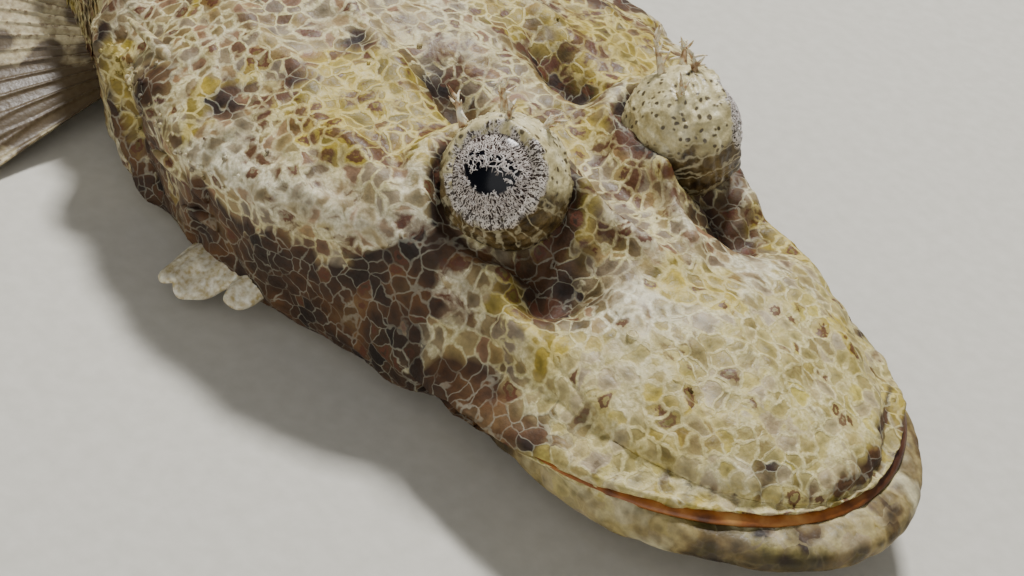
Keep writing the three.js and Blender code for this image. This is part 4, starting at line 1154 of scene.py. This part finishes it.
def fin_web(name, light, dark, spotted):
    """The film of a fin from its light and dark tones and how strong its spots are."""
    material, tree, shader, place = start_material(name)
    ridge = add(tree, "Attribute", out="Fac", attribute_name="ridge")
    reach = add(tree, "Attribute", out="Fac", attribute_name="reach")
    grit = add(tree, "TexNoise", {"Vector": place, "Scale": 1 / (0.9 * MM), "Detail": 4.0})
    blotch = add(tree, "TexNoise", {"Vector": place, "Scale": 1 / (2.2 * SPOT_SPACING), "Detail": 3.0})
    spots = add(tree, "TexVoronoi", {"Vector": place, "Scale": 1 / SPOT_SPACING}, feature="SMOOTH_F1")
    web = add(tree, "ValToRGB", {0: grit}, stops=[(0.3, dark), (0.7, light)])
    fleck = add(tree, "ValToRGB", {0: grit}, stops=[(0.42, "#6B5637"), (0.5, light)])
    tone = add(tree, "Mix", {0: ridge, 6: web, 7: fleck}, 2, data_type="RGBA")
    spot = add(tree, "MapRange", {0: spots, 1: 0.28, 2: 0.38, 3: 1.0, 4: 0.0})
    patch = add(tree, "MapRange", {0: blotch, 1: 0.5, 2: 0.58, 3: 0.0, 4: 1.0})
    spot = add(tree, "Math", {0: spot, 1: patch}, operation="MAXIMUM")
    rim = add(tree, "MapRange", {0: reach, 1: 0.93, 2: 0.97, 3: spotted, 4: 0.0})
    spot = add(tree, "Math", {0: spot, 1: rim}, operation="MULTIPLY")
    tone = add(tree, "Mix", {0: spot, 6: tone, 7: linear("#4A3A27")}, 2, data_type="RGBA")
    tree.links.new(tone, shader.inputs["Base Color"])
    bump = add(tree, "Bump", {"Height": grit, "Distance": 0.2 * MM, "Strength": 0.5})
    tree.links.new(bump, shader.inputs["Normal"])
    shader.inputs["Roughness"].default_value = 0.42
    shader.inputs["Subsurface Weight"].default_value = 0.2
    shader.inputs["Subsurface Radius"].default_value = (0.003, 0.002, 0.001)
    return material


fin_film = fin_web("moist spotted fin web", "#BFB28C", "#8C7B59", 0.9)
flap_skin = fin_web("soft pale flap skin", "#F2EDD8", "#B09C66", 0.35)
FINS = {
    "pectoral_fin_right": (pectoral_fin(-1), fin_film),
    "pectoral_fin_left": (pectoral_fin(1), fin_film),
    "pelvic_fin_right": (pelvic_fin(-1), fin_film),
    "pelvic_fin_left": (pelvic_fin(1), fin_film),
    "cheek_flap_right": (cheek_flap(-1), flap_skin),
    "cheek_flap_left": (cheek_flap(1), flap_skin),
    "first_dorsal_fin": (first_dorsal_fin(), fin_film),
    "second_dorsal_fin": (second_dorsal_fin(), fin_film),
    "anal_fin": (anal_fin(), fin_film),
    "tail_fin": (tail_fin(), fin_film),
}
for fin_name, ((points, faces, marks), web_skin) in FINS.items():
    make_piece(f"{fin_name}_web", points, faces, web_skin, (fin_name,), marks)


# The scales: small overlapping plates of bone under thin skin, in rows round the body from the gill
# covers to the tail fin. Each is rooted in the skin at its front and lifts a little at its rear edge.
SCALE_PITCH, SCALE_WIDTH, SCALE_LENGTH, SCALE_LIFT, SCALE_THICK = 2.9, 3.5, 4.0, 0.34, 0.16
FIRST_ROW_X, LAST_ROW_X = 22.0, -253.0
PATCH_HALF = 0.0015


def scale_roots():
    """Rows of places on the skin's grid: place, normal, place on the unwrapped coat and size. A row
    keeps one rib, its places are evenly spaced by the length of the arc round it, and every other row
    is moved by half a space."""
    shells = live_surface(left.reshape(-1, 3), left_normals.reshape(-1, 3)).reshape(left.shape)
    size = curve_through([(-258, 0.62), (-200, 0.72), (-100, 0.95), (-30, 1.0), (2, 0.85), (24, 0.5)])
    rows, x = [], FIRST_ROW_X
    while x > LAST_ROW_X:
        rows.append(x)
        x -= SCALE_PITCH * size(x) * 0.82
    found = []
    for number, x in enumerate(rows):
        rib = np.interp(x, body_ribs, np.arange(len(body_ribs)))
        low, part = int(rib), rib % 1
        line = mix(shells[low], shells[low + 1], part)
        turned = mix(left_normals[low], left_normals[low + 1], part)
        arc = np.r_[0, np.cumsum(np.linalg.norm(np.diff(line, axis=0), axis=1))]
        count = int(arc[-1] / (SCALE_PITCH * size(x)))
        at = (np.arange(count) + 0.5 * (number % 2)) / count * arc[-1]
        place = np.stack([np.interp(at, arc, line[:, axis]) for axis in range(3)], -1)
        normal = np.stack([np.interp(at, arc, turned[:, axis]) for axis in range(3)], -1)
        down = (FIRST_ROW_X - x) / (FIRST_ROW_X - LAST_ROW_X)
        unwrap = lines_of(0.02 + 0.96 * down, 0.5 + 0.48 * at / arc[-1])
        found.append(np.hstack([place, normal, unwrap, np.full((count, 1), size(x))]))
    found = np.concatenate(found)
    bare = step(found[:, 0], 2, 10) * step(np.abs(found[:, 1]), 16, 20)
    ragged = found[:, 0] < 16 + 4 * waves(found[:, :3], 9, 27)
    found = found[(bare < 0.5) & ragged & (found[:, 2] > 1.2)]
    mirrored = found[np.abs(found[:, 1]) > 0.6] * np.array([1, -1, 1, 1, -1, 1, 1, 1, 1])
    mirrored[:, 7] = 1 - mirrored[:, 7]
    return np.concatenate([found, mirrored])


def scale_coat(roots, seed):
    """Each plate is a grid of 4 by 5: backwards along the body and across. Its half width is a rounded
    arch that closes at the rear, and it is domed across."""
    draw = np.random.default_rng(seed)
    place, normal, unwrap, size = roots[:, :3], roots[:, 3:6], roots[:, 6:8], roots[:, 8]
    normal = unit(normal)
    back = np.array([-1.0, 0, 0]) - normal * -normal[:, :1]
    back = back + draw.normal(0, 0.05, back.shape)
    back = unit(back - normal * np.sum(back * normal, -1, keepdims=True))
    across = np.cross(normal, back)
    v = np.array([0.0, 0.42, 0.78, 1.0])[:, None]
    u = np.linspace(-1, 1, 5)[None, :]
    half = SCALE_WIDTH / 2 * np.array([0.85, 1.0, 0.92, 0.5])[:, None]
    along = SCALE_LENGTH * v * (1 - 0.34 * v * u**2)
    high = mix(-0.25, SCALE_LIFT, v) - 0.22 * u**2 * (1 - 0.4 * v) + 0.1 * (1 - np.abs(u)) * v
    lift = size * draw.uniform(0.7, 1.3, len(place))
    place = place + back * draw.normal(0, 0.3, (len(place), 1))
    place = place + across * draw.normal(0, 0.12, (len(place), 1))
    size = size * draw.uniform(0.94, 1.06, len(place))
    front = (
        place[:, None, None]
        + back[:, None, None] * (size[:, None, None] * along)[..., None]
        + across[:, None, None] * (size[:, None, None] * half * u)[..., None]
        + normal[:, None, None] * (lift[:, None, None] * high)[..., None]
    )
    behind = front - normal[:, None, None] * SCALE_THICK
    sample, pattern = closed_sheet(front[0], behind[0])
    points = np.concatenate([front.reshape(len(place), -1, 3), behind.reshape(len(place), -1, 3)], 1)
    faces = repeated(pattern, len(place), len(sample))
    patch = PATCH_HALF * lines_of(u, 2 * v - 1).reshape(-1, 2)
    patches = unwrap[:, None] + np.concatenate([patch, patch])
    return points.reshape(-1, 3), faces, patches.reshape(-1, 2)


scaled_skin = flathead_skin("thin skin over scales", 0.8, 0.4)
all_roots = scale_roots()
order = np.argsort(-all_roots[:, 0], kind="stable")
for number, share in enumerate(np.array_split(order, 3)):
    points, faces, patches = scale_coat(all_roots[share], 81 + number)
    marks = markings(points)
    make_piece(f"scales_{number + 1}", points, faces, scaled_skin, (), marks, patches)

# The floor under the fish and the studio light: a small lamp high behind the far side, a broad weak
# fill from the near side and an even pale surround.
FLOOR_SIZE = 4.0
LAMP_AIM = np.array([0.08, 0, 0.02])


def pale_floor():
    """A level square of matt board at height 0."""
    data = bpy.data.meshes.new("pale_floor")
    h = FLOOR_SIZE / 2
    data.from_pydata([(-h, -h, 0), (h, -h, 0), (h, h, 0), (-h, h, 0)], [], [(0, 1, 2, 3)])
    floor = bpy.data.objects.new("pale_floor", data)
    bpy.context.collection.objects.link(floor)
    material, tree, shader, place = start_material("matt painted board")
    grain = add(tree, "TexNoise", {"Vector": place, "Scale": 1 / (3 * MM), "Detail": 3.0})
    tone = add(tree, "ValToRGB", {0: grain}, stops=[(0.3, "#C6C2B6"), (0.7, "#CECABF")])
    tree.links.new(tone, shader.inputs["Base Color"])
    shader.inputs["Roughness"].default_value = 0.9
    floor.data.materials.append(material)


def soft_lamp(name, place, size, power):
    """A square lamp whose back axis points away from the head and whose right axis is level."""
    lamp = bpy.data.lights.new(name, "AREA")
    lamp.size = size
    lamp.energy = power
    back = unit(place - LAMP_AIM)
    right = unit(np.cross([0, 0, 1], back))
    stand(name, lamp, right, np.cross(back, right), back, place)


pale_floor()
soft_lamp("sun_side_lamp", (-0.32, 0.37, 1.1), size=0.2, power=21.5)
soft_lamp("fill_lamp", (0.8, -0.9, 0.8), size=1.2, power=7.5)
world = bpy.data.worlds.new("pale_surround")
world.use_nodes = True
world.node_tree.nodes["Background"].inputs["Color"].default_value = linear("#E4E6E6")
world.node_tree.nodes["Background"].inputs["Strength"].default_value = 0.2
bpy.context.scene.world = world
